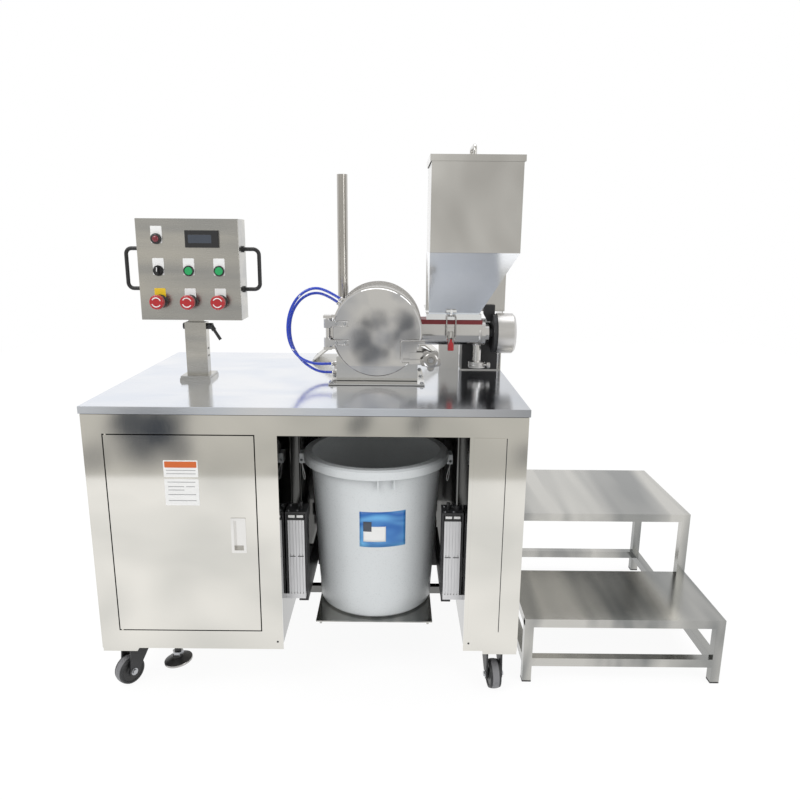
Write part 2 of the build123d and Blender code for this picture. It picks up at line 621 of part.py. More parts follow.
# Rotor: shaft, two discs and the hammers between them
with BuildPart() as rotor:
    rod(at(MILL_X, 318, MILL_TOP_Z), (0, 1, 0), DRUM_Y1 + HOUSING_D + 26 - 318, SHAFT_R)
    rod(at(MILL_X, 322, MILL_TOP_Z), (0, 1, 0), 84, 28)
    for y in (332.0, 388.0):
        rod(at(MILL_X, y, MILL_TOP_Z), (0, 1, 0), 8, ROTOR_DISC_R)
    with BuildSketch(Plane(origin=at(MILL_X, 326, MILL_TOP_Z), x_dir=(1, 0, 0), z_dir=(0, 1, 0))):
        with PolarLocations((ROTOR_R + ROTOR_DISC_R - 14) / 2, HAMMERS):
            Rectangle(ROTOR_R - ROTOR_DISC_R + 14, 10)
    extrude(amount=76)
save(rotor, "rotor")

# Bearing housing behind the drum
with BuildPart() as bearing_housing:
    rod(at(MILL_X, DRUM_Y1, MILL_TOP_Z), (0, 1, 0), 12, 70)
    rod(at(MILL_X, DRUM_Y1, MILL_TOP_Z), (0, 1, 0), HOUSING_D, HOUSING_R)
    rod(at(MILL_X, DRUM_Y1, MILL_TOP_Z), (0, 1, 0), HOUSING_D, SHAFT_R + RUN, Mode.SUBTRACT)
save(bearing_housing, "bearing_housing")

# Motor: finned body on two feet, coupled to the rotor's shaft
MOTOR_Y = DRUM_Y1 + HOUSING_D + 12
MOTOR_FOOT_Z = 62.0
with BuildPart() as mill_motor:
    rod(at(MILL_X, MOTOR_Y, MILL_TOP_Z), (0, 1, 0), 12, MOTOR_R)
    rod(at(MILL_X, MOTOR_Y + 12, MILL_TOP_Z), (0, 1, 0), MOTOR_D - 12, MOTOR_R - 6)
    with BuildSketch(Plane(origin=at(MILL_X, MOTOR_Y + 12, MILL_TOP_Z), x_dir=(1, 0, 0),
                           z_dir=(0, 1, 0))):
        with PolarLocations(MOTOR_R - 4, 20):
            Rectangle(8, 3)
    extrude(amount=MOTOR_D - 50)
    rod(at(MILL_X, MOTOR_Y - 10, MILL_TOP_Z), (0, 1, 0), 10, 30)
    for side in (-1, 1):
        table_block(MILL_X + side * 55 - 25, MILL_X + side * 55 + 25, MOTOR_Y + 20, MOTOR_Y + 130,
                    MOTOR_FOOT_Z, MOTOR_FOOT_Z + 10)
        table_block(MILL_X + side * 40 - 6, MILL_X + side * 40 + 6, MOTOR_Y + 20, MOTOR_Y + 130,
                    MOTOR_FOOT_Z + 8, MILL_Z - 40)
    table_block(MILL_X - 40, MILL_X + 40, MOTOR_Y + 40, MOTOR_Y + 120, MILL_Z + 50, MILL_Z + 100)
    rod(at(MILL_X, MOTOR_Y - 10, MILL_TOP_Z), (0, 1, 0), 34, SHAFT_R + RUN, Mode.SUBTRACT)
save(mill_motor, "mill_motor")

# Motor stand: a folded trapezoid with flanged feet
with BuildPart() as motor_stand:
    with BuildSketch(Plane(origin=on_table(MILL_X, MOTOR_Y + 10), x_dir=(1, 0, 0), z_dir=(0, -1, 0))):
        with BuildLine():
            Polyline((-STAND_HALF_W, 0), (STAND_HALF_W, 0), (STAND_TOP_HALF_W, MOTOR_FOOT_Z),
                     (-STAND_TOP_HALF_W, MOTOR_FOOT_Z), close=True)
        make_face()
        with BuildLine():
            Polyline((9 - STAND_HALF_W, 4), (STAND_HALF_W - 9, 4), (STAND_TOP_HALF_W - 2, MOTOR_FOOT_Z - 4),
                     (2 - STAND_TOP_HALF_W, MOTOR_FOOT_Z - 4), close=True)
        make_face(mode=Mode.SUBTRACT)
    extrude(amount=-(MOTOR_D - 20))
save(motor_stand, "motor_stand")

# Exhaust pipe through the tabletop, with its collar and a groove below the hose's seat
with BuildPart() as exhaust_pipe:
    rod(on_table(PIPE_X, PIPE_Y, -110), (0, 0, 1), 110 + PIPE_TOP - CLAMP_L - CLAMP_GROOVE, PIPE_R)
    rod(on_table(PIPE_X, PIPE_Y, PIPE_TOP - CLAMP_L - CLAMP_GROOVE), (0, 0, 1), CLAMP_GROOVE, PIPE_R - 0.4)
    rod(on_table(PIPE_X, PIPE_Y, PIPE_TOP - CLAMP_L), (0, 0, 1), CLAMP_L, PIPE_R)
    rod(on_table(PIPE_X, PIPE_Y), (0, 0, 1), 6, 30)
    rod(on_table(PIPE_X, PIPE_Y, -110), (0, 0, 1), 110 + PIPE_TOP, PIPE_R - PIPE_WALL, Mode.SUBTRACT)
save(exhaust_pipe, "exhaust_pipe")

# Discharge hood: spout from the drum to a lid that the raised bucket closes against
with BuildPart() as discharge_hood:
    rod(at(MILL_X, SPOUT_Y, HOOD_Z), (0, 0, 1), TABLE_H + MILL_Z - DRUM_R - 2 - HOOD_Z, SPOUT_R)
    rod(at(BAY_X, BUCKET_Y, HOOD_Z), (0, 0, 1), HOOD_T, HOOD_R)
    rod(at(MILL_X, SPOUT_Y, HOOD_Z), (0, 0, 1), TABLE_H + MILL_Z - HOOD_Z, SPOUT_R - 4, Mode.SUBTRACT)
save(discharge_hood, "discharge_hood")

# Feed trough: a U-shaped barrel with its end bearing, latch seat and clamped drain stub
TROUGH_X0 = MILL_X + 100
DRAIN_X = 468.0


def trough_outline(radius):
    """A U section about the screw's axis, up to the trough's rim."""
    Circle(radius)
    with Locations((0, radius)):
        Rectangle(2 * radius, 2 * radius, mode=Mode.SUBTRACT)
    with Locations((0, (TROUGH_TOP - FEED_Z) / 2)):
        Rectangle(2 * radius, TROUGH_TOP - FEED_Z)


with BuildPart() as feed_trough:
    with BuildSketch(Plane(origin=on_table(TROUGH_X0, FEED_Y, FEED_Z), x_dir=(0, 1, 0),
                           z_dir=(1, 0, 0))):
        trough_outline(TROUGH_R)
    extrude(amount=TROUGH_END_X - TROUGH_X0)
    rod(on_table(TROUGH_END_X, FEED_Y, FEED_Z), (1, 0, 0), 11, 40)
    rod(on_table(TROUGH_END_X + 11, FEED_Y, FEED_Z), (1, 0, 0), 12, 26)
    rod(on_table(DRAIN_X, FEED_Y, 40), (0, 0, 1), FEED_Z - TROUGH_R - 36, 12)
    rod(on_table(DRAIN_X, FEED_Y, 22), (0, 0, 1), 18, 25)
    rod(on_table(DRAIN_X + 20, FEED_Y - 12, 31), (1, 0, 0), 14, 3.5)
    table_block(DRAIN_X + 30, DRAIN_X + 38, FEED_Y - 18, FEED_Y - 6, 22, 40)
    table_block(LATCH_X - 13, LATCH_X + 13, FEED_Y - TROUGH_R - 4, FEED_Y - TROUGH_R + 3, 112, 146)
    table_block(LATCH_X - 3, LATCH_X + 3, LATCH_Y - 5, FEED_Y - TROUGH_R, LATCH_Z - 6, LATCH_Z + 6)
    with BuildSketch(Plane(origin=on_table(TROUGH_X0, FEED_Y, FEED_Z), x_dir=(0, 1, 0),
                           z_dir=(1, 0, 0))):
        trough_outline(TROUGH_R - TROUGH_WALL)
    extrude(amount=TROUGH_END_X - TROUGH_X0, mode=Mode.SUBTRACT)
    rod(on_table(TROUGH_END_X, FEED_Y, FEED_Z), (1, 0, 0), 23, SCREW_CORE_R + RUN, Mode.SUBTRACT)
    rod(on_table(LATCH_X - 5, LATCH_Y, LATCH_Z), (1, 0, 0), 10, 2.5 + RUN, Mode.SUBTRACT)
    rod(at(MILL_X, DRUM_Y0, MILL_TOP_Z), (0, 1, 0), DRUM_D, DRUM_R, Mode.SUBTRACT)
save(feed_trough, "feed_trough")

# Feed screw: a helical flight on its core
SCREW_X0 = MILL_X + 122
FLIGHT_MID_R = (SCREW_R + SCREW_CORE_R) / 2 - 1
with BuildPart() as feed_screw:
    with BuildLine():
        Helix(SCREW_PITCH, SCREW_PITCH * 4, FLIGHT_MID_R)
    with BuildSketch(Plane(origin=(FLIGHT_MID_R, 0, 0), x_dir=(1, 0, 0),
                           z_dir=(0, 1, SCREW_PITCH / (2 * math.pi * FLIGHT_MID_R)))):
        Rectangle(SCREW_R - SCREW_CORE_R + 2, FLIGHT_T)
    sweep(is_frenet=True)
flight = feed_screw.part.rotate(Axis.Y, 90).moved(Location(on_table(SCREW_X0 + 4, FEED_Y, FEED_Z)))
with BuildPart() as screw_body:
    rod(on_table(SCREW_X0, FEED_Y, FEED_Z), (1, 0, 0), DRIVE_DRUM_X + 40 - SCREW_X0, SCREW_CORE_R)
    add(flight)
save(screw_body, "feed_screw")

# Drive drum on the screw's outer end
with BuildPart() as drive_drum:
    rod(on_table(DRIVE_DRUM_X, FEED_Y, FEED_Z), (1, 0, 0), DRIVE_DRUM_W, DRIVE_DRUM_R)
    chamfer(drive_drum.edges().filter_by(GeomType.CIRCLE).group_by(Axis.X)[-1], 7.0)
    rod(on_table(DRIVE_DRUM_X, FEED_Y, FEED_Z), (1, 0, 0), 40, SCREW_CORE_R, Mode.SUBTRACT)
save(drive_drum, "drive_drum")

# Feeder gearbox behind the drum: flange on the screw's axis, the box beside it and its top gusset
GASKET_TOP = TROUGH_TOP + GASKET_T
THROAT_Z = GASKET_TOP + BASE_FLANGE_T
GEARBOX_Y = FEED_Y + DRIVE_DRUM_R + 8
GUSSET_X = DRIVE_DRUM_X - 19
with BuildPart() as feed_gearbox:
    rod(on_table(DRIVE_DRUM_X - 12, FEED_Y, FEED_Z), (1, 0, 0), 12 - SLIP, DRIVE_DRUM_R - 3)
    rod(on_table(TROUGH_END_X + 23, FEED_Y, FEED_Z), (1, 0, 0), 11, 14)
    table_block(DRIVE_DRUM_X - 12, DRIVE_DRUM_X - 3, FEED_Y, GEARBOX_Y + 5, FEED_Z - 50, FEED_Z + 24)
    table_block(430, 540, GEARBOX_Y, GEARBOX_Y + 110, COLUMN_SHEET, 150)
    rod(on_table(TROUGH_END_X + 23, FEED_Y, FEED_Z), (1, 0, 0), 24, SCREW_CORE_R + RUN, Mode.SUBTRACT)
    fillet(feed_gearbox.edges().filter_by(Axis.Z).group_by(Axis.Y)[-1], 12.0)
    with BuildSketch(Plane(origin=on_table(GUSSET_X, HOPPER_Y1 - SLIP, THROAT_Z), x_dir=(1, 0, 0),
                           z_dir=(0, -1, 0))):
        with BuildLine():
            Polyline((-17, 22), (17, 22), (17, -4), (9, -27), (-4, -27), (-17, -4), close=True)
        make_face()
    extrude(amount=14)
save(feed_gearbox, "feed_gearbox")

# Red gasket between trough and hopper
with BuildPart() as hopper_gasket:
    table_block(296, TROUGH_END_X, FEED_Y - TROUGH_R - 3, FEED_Y + TROUGH_R + 1, TROUGH_TOP, GASKET_TOP)
    table_block(THROAT_X0, THROAT_X1, FEED_Y - TROUGH_R + TROUGH_WALL, FEED_Y + TROUGH_R - TROUGH_WALL,
                TROUGH_TOP, GASKET_TOP, Mode.SUBTRACT)
save(hopper_gasket, "hopper_gasket")

# Hopper: flanged throat, sloping cone and square body
def hopper_shape(inset):
    """The hopper's outline from throat to rim, moved in by a wall."""
    corners = (THROAT_X0 + inset, THROAT_X1 - inset, THROAT_Y0 + inset, HOPPER_Y1 - inset)
    tops = (HOPPER_X0 + inset, HOPPER_X1 - inset, HOPPER_Y0 + inset, HOPPER_Y1 - inset)
    with BuildPart() as shape:
        for z, (x0, x1, y0, y1) in ((THROAT_Z, corners), (CONE_TOP, tops)):
            with BuildSketch(Plane(origin=on_table((x0 + x1) / 2, (y0 + y1) / 2, z))):
                Rectangle(x1 - x0, y1 - y0)
        loft(ruled=True)
        x0, x1, y0, y1 = tops
        table_block(x0, x1, y0, y1, CONE_TOP, HOPPER_TOP)
    return shape.part


LID_HINGE_Y = HOPPER_Y1 + 10
LID_HINGE_Z = HOPPER_TOP - 8
LID_PIN_R = 3.0
hopper_outside = hopper_shape(0)
hopper_inside = hopper_shape(HOPPER_WALL)
with BuildPart() as hopper:
    add(hopper_outside)
    table_block(HOPPER_X0 - 1, 473, THROAT_Y0 - 4, HOPPER_Y1, GASKET_TOP, THROAT_Z)
    add(hopper_inside, mode=Mode.SUBTRACT)
    table_block(THROAT_X0 + HOPPER_WALL, THROAT_X1 - HOPPER_WALL, FEED_Y - TROUGH_R + TROUGH_WALL,
                FEED_Y + TROUGH_R - TROUGH_WALL, GASKET_TOP, THROAT_Z + 1, Mode.SUBTRACT)
    for x in (HOPPER_X0 + 30, HOPPER_X1 - 30):
        table_block(x - 8, x + 8, HOPPER_Y1 - 1, LID_HINGE_Y + 5, LID_HINGE_Z - 12, LID_HINGE_Z - 6)
        table_block(x - 8, x + 8, LID_HINGE_Y - 5, LID_HINGE_Y + 5, LID_HINGE_Z - 8, LID_HINGE_Z + 5)
        rod(on_table(x - 8, LID_HINGE_Y, LID_HINGE_Z), (1, 0, 0), 16, LID_PIN_R + RUN, Mode.SUBTRACT)
    table_block(LATCH_X - 8, LATCH_X + 8, BAIL_PIVOT_Y, THROAT_Y0 - 4, CATCH_Z - 9, CATCH_Z)
    rod(on_table(LATCH_X, THROAT_Y0 - 8, CATCH_Z), (0, 0, 1), 36, 3.5)
    rod(on_table(LATCH_X, THROAT_Y0 - 8, CATCH_Z + 24), (0, 0, 1), 12, 6)
    table_block(LATCH_X - 15, LATCH_X + 15, THROAT_Y0 - 10, THROAT_Y0 - 6, CATCH_Z + 12, CATCH_Z + 20)
save(hopper, "hopper")

# Hopper lid with its handle and hinge pins
LID_X0 = HOPPER_X0 - LID_GAP - HOPPER_WALL
LID_X1 = HOPPER_X1 + LID_GAP + HOPPER_WALL
HANDLE_X = (HOPPER_X0 + HOPPER_X1) / 2 - 3
HANDLE_Y = (HOPPER_Y0 + HOPPER_Y1) / 2
with BuildPart() as hopper_lid:
    table_block(LID_X0, LID_X1, HOPPER_Y0 - LID_GAP - HOPPER_WALL, HOPPER_Y1 + LID_GAP + HOPPER_WALL,
                LID_TOP - LID_SKIRT, LID_TOP)
    table_block(LID_X0 + HOPPER_WALL, LID_X1 - HOPPER_WALL, HOPPER_Y0 - LID_GAP, HOPPER_Y1 + LID_GAP,
                LID_TOP - LID_SKIRT, LID_TOP - HOPPER_WALL, Mode.SUBTRACT)
    for x in (HOPPER_X0 + 30, HOPPER_X1 - 30):
        for side in (-1, 1):
            ear = x + side * 12
            table_block(ear - 3, ear + 3, HOPPER_Y1 + LID_GAP, LID_HINGE_Y + 5, LID_HINGE_Z - 5, LID_TOP)
        table_block(x - 12, x + 12, HOPPER_Y1 + LID_GAP, LID_HINGE_Y + 5, LID_TOP - 4, LID_TOP)
        table_block(x - 9.5, x + 9.5, HOPPER_Y1 - 5, HOPPER_Y1 + LID_GAP + HOPPER_WALL,
                    LID_TOP - LID_SKIRT, LID_TOP - 4, Mode.SUBTRACT)
        rod(on_table(x - 15, LID_HINGE_Y, LID_HINGE_Z), (1, 0, 0), 30, LID_PIN_R)
    with BuildLine():
        grip = FilletPolyline(on_table(HANDLE_X, HANDLE_Y - 48, LID_TOP - 1),
                              on_table(HANDLE_X, HANDLE_Y - 48, LID_TOP + 30),
                              on_table(HANDLE_X, HANDLE_Y + 48, LID_TOP + 30),
                              on_table(HANDLE_X, HANDLE_Y + 48, LID_TOP - 1), radius=14)
    with BuildSketch(Plane(origin=grip @ 0, z_dir=grip % 0)):
        Circle(5)
    sweep(path=grip)
save(hopper_lid, "hopper_lid")

# Column behind the hopper: folded upright, shelf, foot and leg
SHELF_Z = THROAT_Z + 2.0
with BuildPart() as hopper_column:
    table_block(HOPPER_X0, COLUMN_X1, HOPPER_Y1, HOPPER_Y1 + COLUMN_SHEET, SHELF_Z, CONE_TOP)
    table_block(HOPPER_X0, COLUMN_X1, HOPPER_Y1, HOPPER_Y1 + COLUMN_D, SHELF_Z, SHELF_Z + 4)
    table_block(COLUMN_X1 - COLUMN_SHEET, COLUMN_X1, HOPPER_Y1, HOPPER_Y1 + COLUMN_D, SHELF_Z, CONE_TOP)
    table_block(COLUMN_X1 - COLUMN_SHEET, COLUMN_X1, GEARBOX_Y, HOPPER_Y1 + COLUMN_D, 0, SHELF_Z)
    table_block(425, COLUMN_X1, GEARBOX_Y, HOPPER_Y1 + COLUMN_D, 0, COLUMN_SHEET)
    table_block(358, 420, HOPPER_Y1 + 35, HOPPER_Y1 + 75, 0, SHELF_Z)
save(hopper_column, "hopper_column")

# Toggle latch: lever with its grip, and the bail that it draws down
with BuildPart() as latch_lever:
    for x in (LATCH_X - 8, LATCH_X + 3.5):
        with BuildSketch(Plane(origin=on_table(x, LATCH_Y, LATCH_Z), x_dir=(0, 1, 0), z_dir=(1, 0, 0))):
            with BuildLine():
                Polyline((-6, 6), (3, 6), (5, -6), (2, -44), (-8, -44), (-11, -10), close=True)
            make_face()
        extrude(amount=4.5)
    table_block(LATCH_X - 8, LATCH_X + 8, LATCH_Y - 9, LATCH_Y + 2, LATCH_Z - 44, LATCH_Z - 16)
    rod(on_table(LATCH_X - 8, LATCH_Y, LATCH_Z), (1, 0, 0), 16, 2.5)
    for side in (-1, 1):
        rod(on_table(LATCH_X + side * 8.5, BAIL_PIVOT_Y, BAIL_PIVOT_Z), (-side, 0, 0), 5.5,
            BAIL_R + RUN, Mode.SUBTRACT)
save(latch_lever, "latch_lever")

BAIL_TOP_Y = THROAT_Y0 - 14.5
BAIL_TOP_Z = CATCH_Z + SLIP + BAIL_R
with BuildPart() as latch_bail:
    with BuildLine():
        bail_wire = FilletPolyline(on_table(LATCH_X - 4.5, BAIL_PIVOT_Y, BAIL_PIVOT_Z),
                                   on_table(LATCH_X - BAIL_W / 2, BAIL_PIVOT_Y, BAIL_PIVOT_Z),
                                   on_table(LATCH_X - BAIL_W / 2, BAIL_TOP_Y, BAIL_TOP_Z),
                                   on_table(LATCH_X + BAIL_W / 2, BAIL_TOP_Y, BAIL_TOP_Z),
                                   on_table(LATCH_X + BAIL_W / 2, BAIL_PIVOT_Y, BAIL_PIVOT_Z),
                                   on_table(LATCH_X + 4.5, BAIL_PIVOT_Y, BAIL_PIVOT_Z), radius=2.5)
    with BuildSketch(Plane(origin=bail_wire @ 0, z_dir=bail_wire % 0)):
        Circle(BAIL_R)
    sweep(path=bail_wire)
save(latch_bail, "latch_bail")

# Panel post on its two-layer base
POST_TOP = TILT_Z + 12
PANEL_MID_Y = PANEL_Y + PANEL_D / 2
with BuildPart() as panel_post:
    table_block(PANEL_X - 44, PANEL_X + 44, PANEL_MID_Y - 47, PANEL_MID_Y + 47, 0, 7)
    table_block(PANEL_X - 42, PANEL_X + 42, PANEL_MID_Y - 45, PANEL_MID_Y + 45, 7, 13)
    table_block(PANEL_X - POST_W / 2, PANEL_X + POST_W / 2, PANEL_MID_Y - POST_D / 2,
                PANEL_MID_Y + POST_D / 2, 13, POST_TOP)
    table_block(PANEL_X - POST_W / 2 + POST_WALL, PANEL_X + POST_W / 2 - POST_WALL,
                PANEL_MID_Y - POST_D / 2 + POST_WALL, PANEL_MID_Y + POST_D / 2 - POST_WALL, 13, POST_TOP,
                Mode.SUBTRACT)
    for z in (65.0, 86.0):
        table_block(PANEL_X + POST_W / 2 - POST_WALL, PANEL_X + POST_W / 2, PANEL_MID_Y - 8,
                    PANEL_MID_Y + 8, z, z + 4, Mode.SUBTRACT)
    rod(on_table(PANEL_X - POST_W / 2, PANEL_MID_Y, TILT_Z), (1, 0, 0), POST_W, TILT_PIN_R + RUN,
        Mode.SUBTRACT)
save(panel_post, "panel_post")


def panel_points():
    """The three control columns, left to right."""
    return [PANEL_X + COLUMN_PITCH * step for step in (-1, 0, 1)]


COLUMN_LEFT, COLUMN_MID, COLUMN_RIGHT = panel_points()

# Panel box with its tongue in the post
with BuildPart() as panel_box:
    table_block(PANEL_X - PANEL_W / 2, PANEL_X + PANEL_W / 2, PANEL_Y, PANEL_Y + PANEL_D, PANEL_Z,
                PANEL_Z + PANEL_H)
    fillet(panel_box.edges().filter_by(Axis.Z), 2.0)
    table_block(PANEL_X - PANEL_W / 2 + PANEL_SHEET, PANEL_X + PANEL_W / 2 - PANEL_SHEET,
                PANEL_Y + PANEL_SHEET, PANEL_Y + PANEL_D - PANEL_SHEET, PANEL_Z + PANEL_SHEET,
                PANEL_Z + PANEL_H - PANEL_SHEET, Mode.SUBTRACT)
    table_block(PANEL_X - TONGUE_W / 2, PANEL_X + TONGUE_W / 2, PANEL_MID_Y - TONGUE_T / 2,
                PANEL_MID_Y + TONGUE_T / 2, TILT_Z, PANEL_Z + PANEL_SHEET)
    rod(on_table(PANEL_X - TONGUE_W / 2, PANEL_MID_Y, TILT_Z), (1, 0, 0), TONGUE_W, TILT_HUB_R)
    rod(on_table(PANEL_X - POST_W / 2, PANEL_MID_Y, TILT_Z), (1, 0, 0), POST_W, TILT_PIN_R + RUN,
        Mode.SUBTRACT)
    for x, z in ((COLUMN_LEFT, START_Z), (COLUMN_MID, START_Z), (COLUMN_RIGHT, START_Z)):
        rod(on_table(x, PANEL_Y, z), (0, 1, 0), PANEL_SHEET, BUTTON_R + SLIP, Mode.SUBTRACT)
    for x in panel_points():
        rod(on_table(x, PANEL_Y, STOP_Z), (0, 1, 0), PANEL_SHEET, STOP_STEM_R + SLIP, Mode.SUBTRACT)
    rod(on_table(PANEL_X + 60, PANEL_MID_Y, PANEL_Z), (0, 0, 1), PANEL_SHEET, 8, Mode.SUBTRACT)
save(panel_box, "panel_box")

# Handles at the panel's sides
with BuildPart() as panel_handles:
    for side in (-1, 1):
        inner = PANEL_X + side * PANEL_W / 2
        outer = inner + side * HANDLE_OUT
        with BuildLine(mode=Mode.PRIVATE) as handle_line:
            FilletPolyline(on_table(inner, PANEL_MID_Y, HANDLE_Z0), on_table(outer, PANEL_MID_Y, HANDLE_Z0),
                           on_table(outer, PANEL_MID_Y, HANDLE_Z1),
                           on_table(inner, PANEL_MID_Y, HANDLE_Z1), radius=16)
        path = handle_line.wires()[0]
        with BuildSketch(Plane(origin=path @ 0, z_dir=path % 0)):
            Circle(HANDLE_R)
        sweep(path=path)
        for z in (HANDLE_Z0, HANDLE_Z1):
            rod(on_table(inner, PANEL_MID_Y, z), (side, 0, 0), 5, 9)
save(panel_handles, "panel_handles")

# Clamp lever on the panel's tilt axis
LEVER_X = PANEL_X + POST_W / 2 + SLIP
with BuildPart() as clamp_lever:
    rod(on_table(PANEL_X - POST_W / 2 - 7, PANEL_MID_Y, TILT_Z), (1, 0, 0), POST_W + 18, TILT_PIN_R)
    rod(on_table(PANEL_X - POST_W / 2 - 7 - SLIP, PANEL_MID_Y, TILT_Z), (1, 0, 0), 7, 9)
    rod(on_table(LEVER_X, PANEL_MID_Y, TILT_Z), (1, 0, 0), 16, 9)
    rod(on_table(LEVER_X + 12, PANEL_MID_Y, TILT_Z), (22, 0, -36), 46, 4.5)
    rod(on_table(LEVER_X + 12, PANEL_MID_Y, TILT_Z), (22, 0, -36), 14, 6.5)
save(clamp_lever, "clamp_lever")

# Fixed fittings on the panel: lamp, meter, bezels and stop collars
with BuildPart() as panel_fittings:
    rod(on_table(COLUMN_LEFT, PANEL_Y, LAMP_Z), (0, -1, 0), 5, BEZEL_R)
    rod(on_table(COLUMN_LEFT, PANEL_Y - 5, LAMP_Z), (0, -1, 0), 4, BUTTON_R)
    table_block(PANEL_X + METER_X - METER_W / 2, PANEL_X + METER_X + METER_W / 2, PANEL_Y - 6, PANEL_Y,
                LAMP_Z - METER_H / 2, LAMP_Z + METER_H / 2)
    for x in panel_points():
        with BuildSketch(Plane(origin=on_table(x, PANEL_Y, START_Z), x_dir=(1, 0, 0), z_dir=(0, -1, 0))):
            Circle(BEZEL_R)
            Circle(BUTTON_R + SLIP, mode=Mode.SUBTRACT)
        extrude(amount=5)
        with BuildSketch(Plane(origin=on_table(x, PANEL_Y, STOP_Z), x_dir=(1, 0, 0), z_dir=(0, -1, 0))):
            Circle(BEZEL_R + 1)
            Circle(STOP_STEM_R + SLIP, mode=Mode.SUBTRACT)
        extrude(amount=18)
save(panel_fittings, "panel_fittings")

# Selector with its finger bar
with BuildPart() as selector_knob:
    rod(on_table(COLUMN_LEFT, PANEL_Y + 10, START_Z), (0, -1, 0), 18, BUTTON_R)
    table_block(COLUMN_LEFT - 3.5, COLUMN_LEFT + 3.5, PANEL_Y - 18, PANEL_Y - 7, START_Z - BUTTON_R + 1,
                START_Z + BUTTON_R - 1)
save(selector_knob, "selector_knob")


def push_button(x, name):
    """A flush push button in its bezel."""
    with BuildPart() as button:
        rod(on_table(x, PANEL_Y + 12, START_Z), (0, -1, 0), 20, BUTTON_R)
        chamfer(button.edges().filter_by(GeomType.CIRCLE).group_by(Axis.Y)[0], 1.0)
    save(button, name)


def stop_button(x, name):
    """A mushroom-headed stop button on its stem."""
    with BuildPart() as button:
        rod(on_table(x, PANEL_Y + 12, STOP_Z), (0, -1, 0), 42, STOP_STEM_R)
        rod(on_table(x, PANEL_Y - 26, STOP_Z), (0, -1, 0), 14, STOP_HEAD_R)
        fillet(button.edges().filter_by(GeomType.CIRCLE).group_by(Axis.Y)[0], 4.0)
    save(button, name)


push_button(COLUMN_MID, "start_button_a")
push_button(COLUMN_RIGHT, "start_button_b")
for stop_x, side_name in zip(panel_points(), ("left", "middle", "right")):
    stop_button(stop_x, f"stop_button_{side_name}")

# Lift: fixed cylinders on their feet, and the raised frame, rods and platform
CAP_Z = CYL_Z1
SIDE_PLATE = 4.0
STRAP_Y0 = CYL_Y0 + CYL_D + 2
STRAP_T = 6.0


def side_block(side, w0, w1, y0, y1, z0, z1, mode=Mode.ADD):
    """A box on one side of the bay, with its width counted from the wall."""
    xs = sorted((lift_x(side, w0), lift_x(side, w1)))
    block(xs[0], xs[1], y0, y1, z0, z1, mode)


with BuildPart() as lift_cylinders:
    for side in (-1, 1):
        side_block(side, CYL_WALL_GAP, CYL_WALL_GAP + CYL_W, CYL_Y0, CYL_Y0 + CYL_D, CYL_Z0, CYL_Z1 - SLIP)
        for groove in (6.0, 14.0, 22.0, 30.0, 38.0):
            side_block(side, CYL_WALL_GAP + groove - 1.2, CYL_WALL_GAP + groove + 1.2, CYL_Y0, CYL_Y0 + 4,
                       CYL_Z0, CYL_Z1, Mode.SUBTRACT)
        side_block(side, 0, CYL_WALL_GAP + CYL_W, CYL_Y0, CYL_Y0 + CYL_D, CYL_Z0 - FOOT_PLATE, CYL_Z0)
        rod(at(lift_x(side, CYL_MID) - ROD_OFF, CYL_MID_Y, CYL_Z0 + 14), (0, 0, 1), CYL_Z1 - CYL_Z0,
            PISTON_R + RUN, Mode.SUBTRACT)
save(lift_cylinders, "lift_cylinders")

with BuildPart() as lift_rods:
    for side in (-1, 1):
        rod(at(lift_x(side, CYL_MID) - ROD_OFF, CYL_MID_Y, CYL_Z0 + 20), (0, 0, 1), CAP_Z - CYL_Z0 - 20,
            PISTON_R)
save(lift_rods, "lift_rods")

PLATE_Z0 = PLATFORM_Z + 25
CARRIAGE_H = 40.0
PLATE_Z1 = CYL_Z0 + CARRIAGE_H
CROSS_Y = PLATFORM_Y0 + 370
CYL_INNER = CYL_WALL_GAP + CYL_W
with BuildPart() as lift_frame:
    for side in (-1, 1):
        side_block(side, 2, CYL_INNER + 6, CYL_Y0, STRAP_Y0 + STRAP_T, CAP_Z, CAP_Z + CAP_T)
        side_block(side, 2, 2 + SIDE_PLATE, CYL_Y0, CYL_Y0 + CYL_D - 1, CYL_Z0, CAP_Z)
        side_block(side, CYL_INNER + 2, CYL_INNER + 6, CYL_Y0, CYL_Y0 + CYL_D - 1, CYL_Z0, CAP_Z)
        side_block(side, CYL_INNER - 26, CYL_INNER, STRAP_Y0, STRAP_Y0 + STRAP_T, PLATE_Z0, CAP_Z)
        side_block(side, CYL_INNER - 6, CYL_INNER, STRAP_Y0, CROSS_Y + 6, PLATE_Z0, PLATE_Z1)
    block(lift_x(-1, CYL_INNER - 6), lift_x(1, CYL_INNER - 6), CROSS_Y, CROSS_Y + 6, PLATFORM_Z - 15,
          PLATE_Z1)
    side_block(-1, REAR_GUIDE_OFF, CYL_INNER - 6, REAR_GUIDE_Y - BUSH_R, REAR_GUIDE_Y + BUSH_R,
               PLATE_Z1 - CARRIAGE_H, PLATE_Z1)
    for side, off, y, z, height in ((-1, REAR_GUIDE_OFF, REAR_GUIDE_Y, PLATE_Z1 - CARRIAGE_H, CARRIAGE_H),
                                    (1, FRONT_GUIDE_OFF, CYL_MID_Y, CAP_Z, CAP_T + BUSH_H)):
        rod(at(lift_x(side, off), y, z), (0, 0, 1), height, BUSH_R)
        rod(at(lift_x(side, off), y, z), (0, 0, 1), height, GUIDE_R + RUN, Mode.SUBTRACT)
save(lift_frame, "lift_frame")

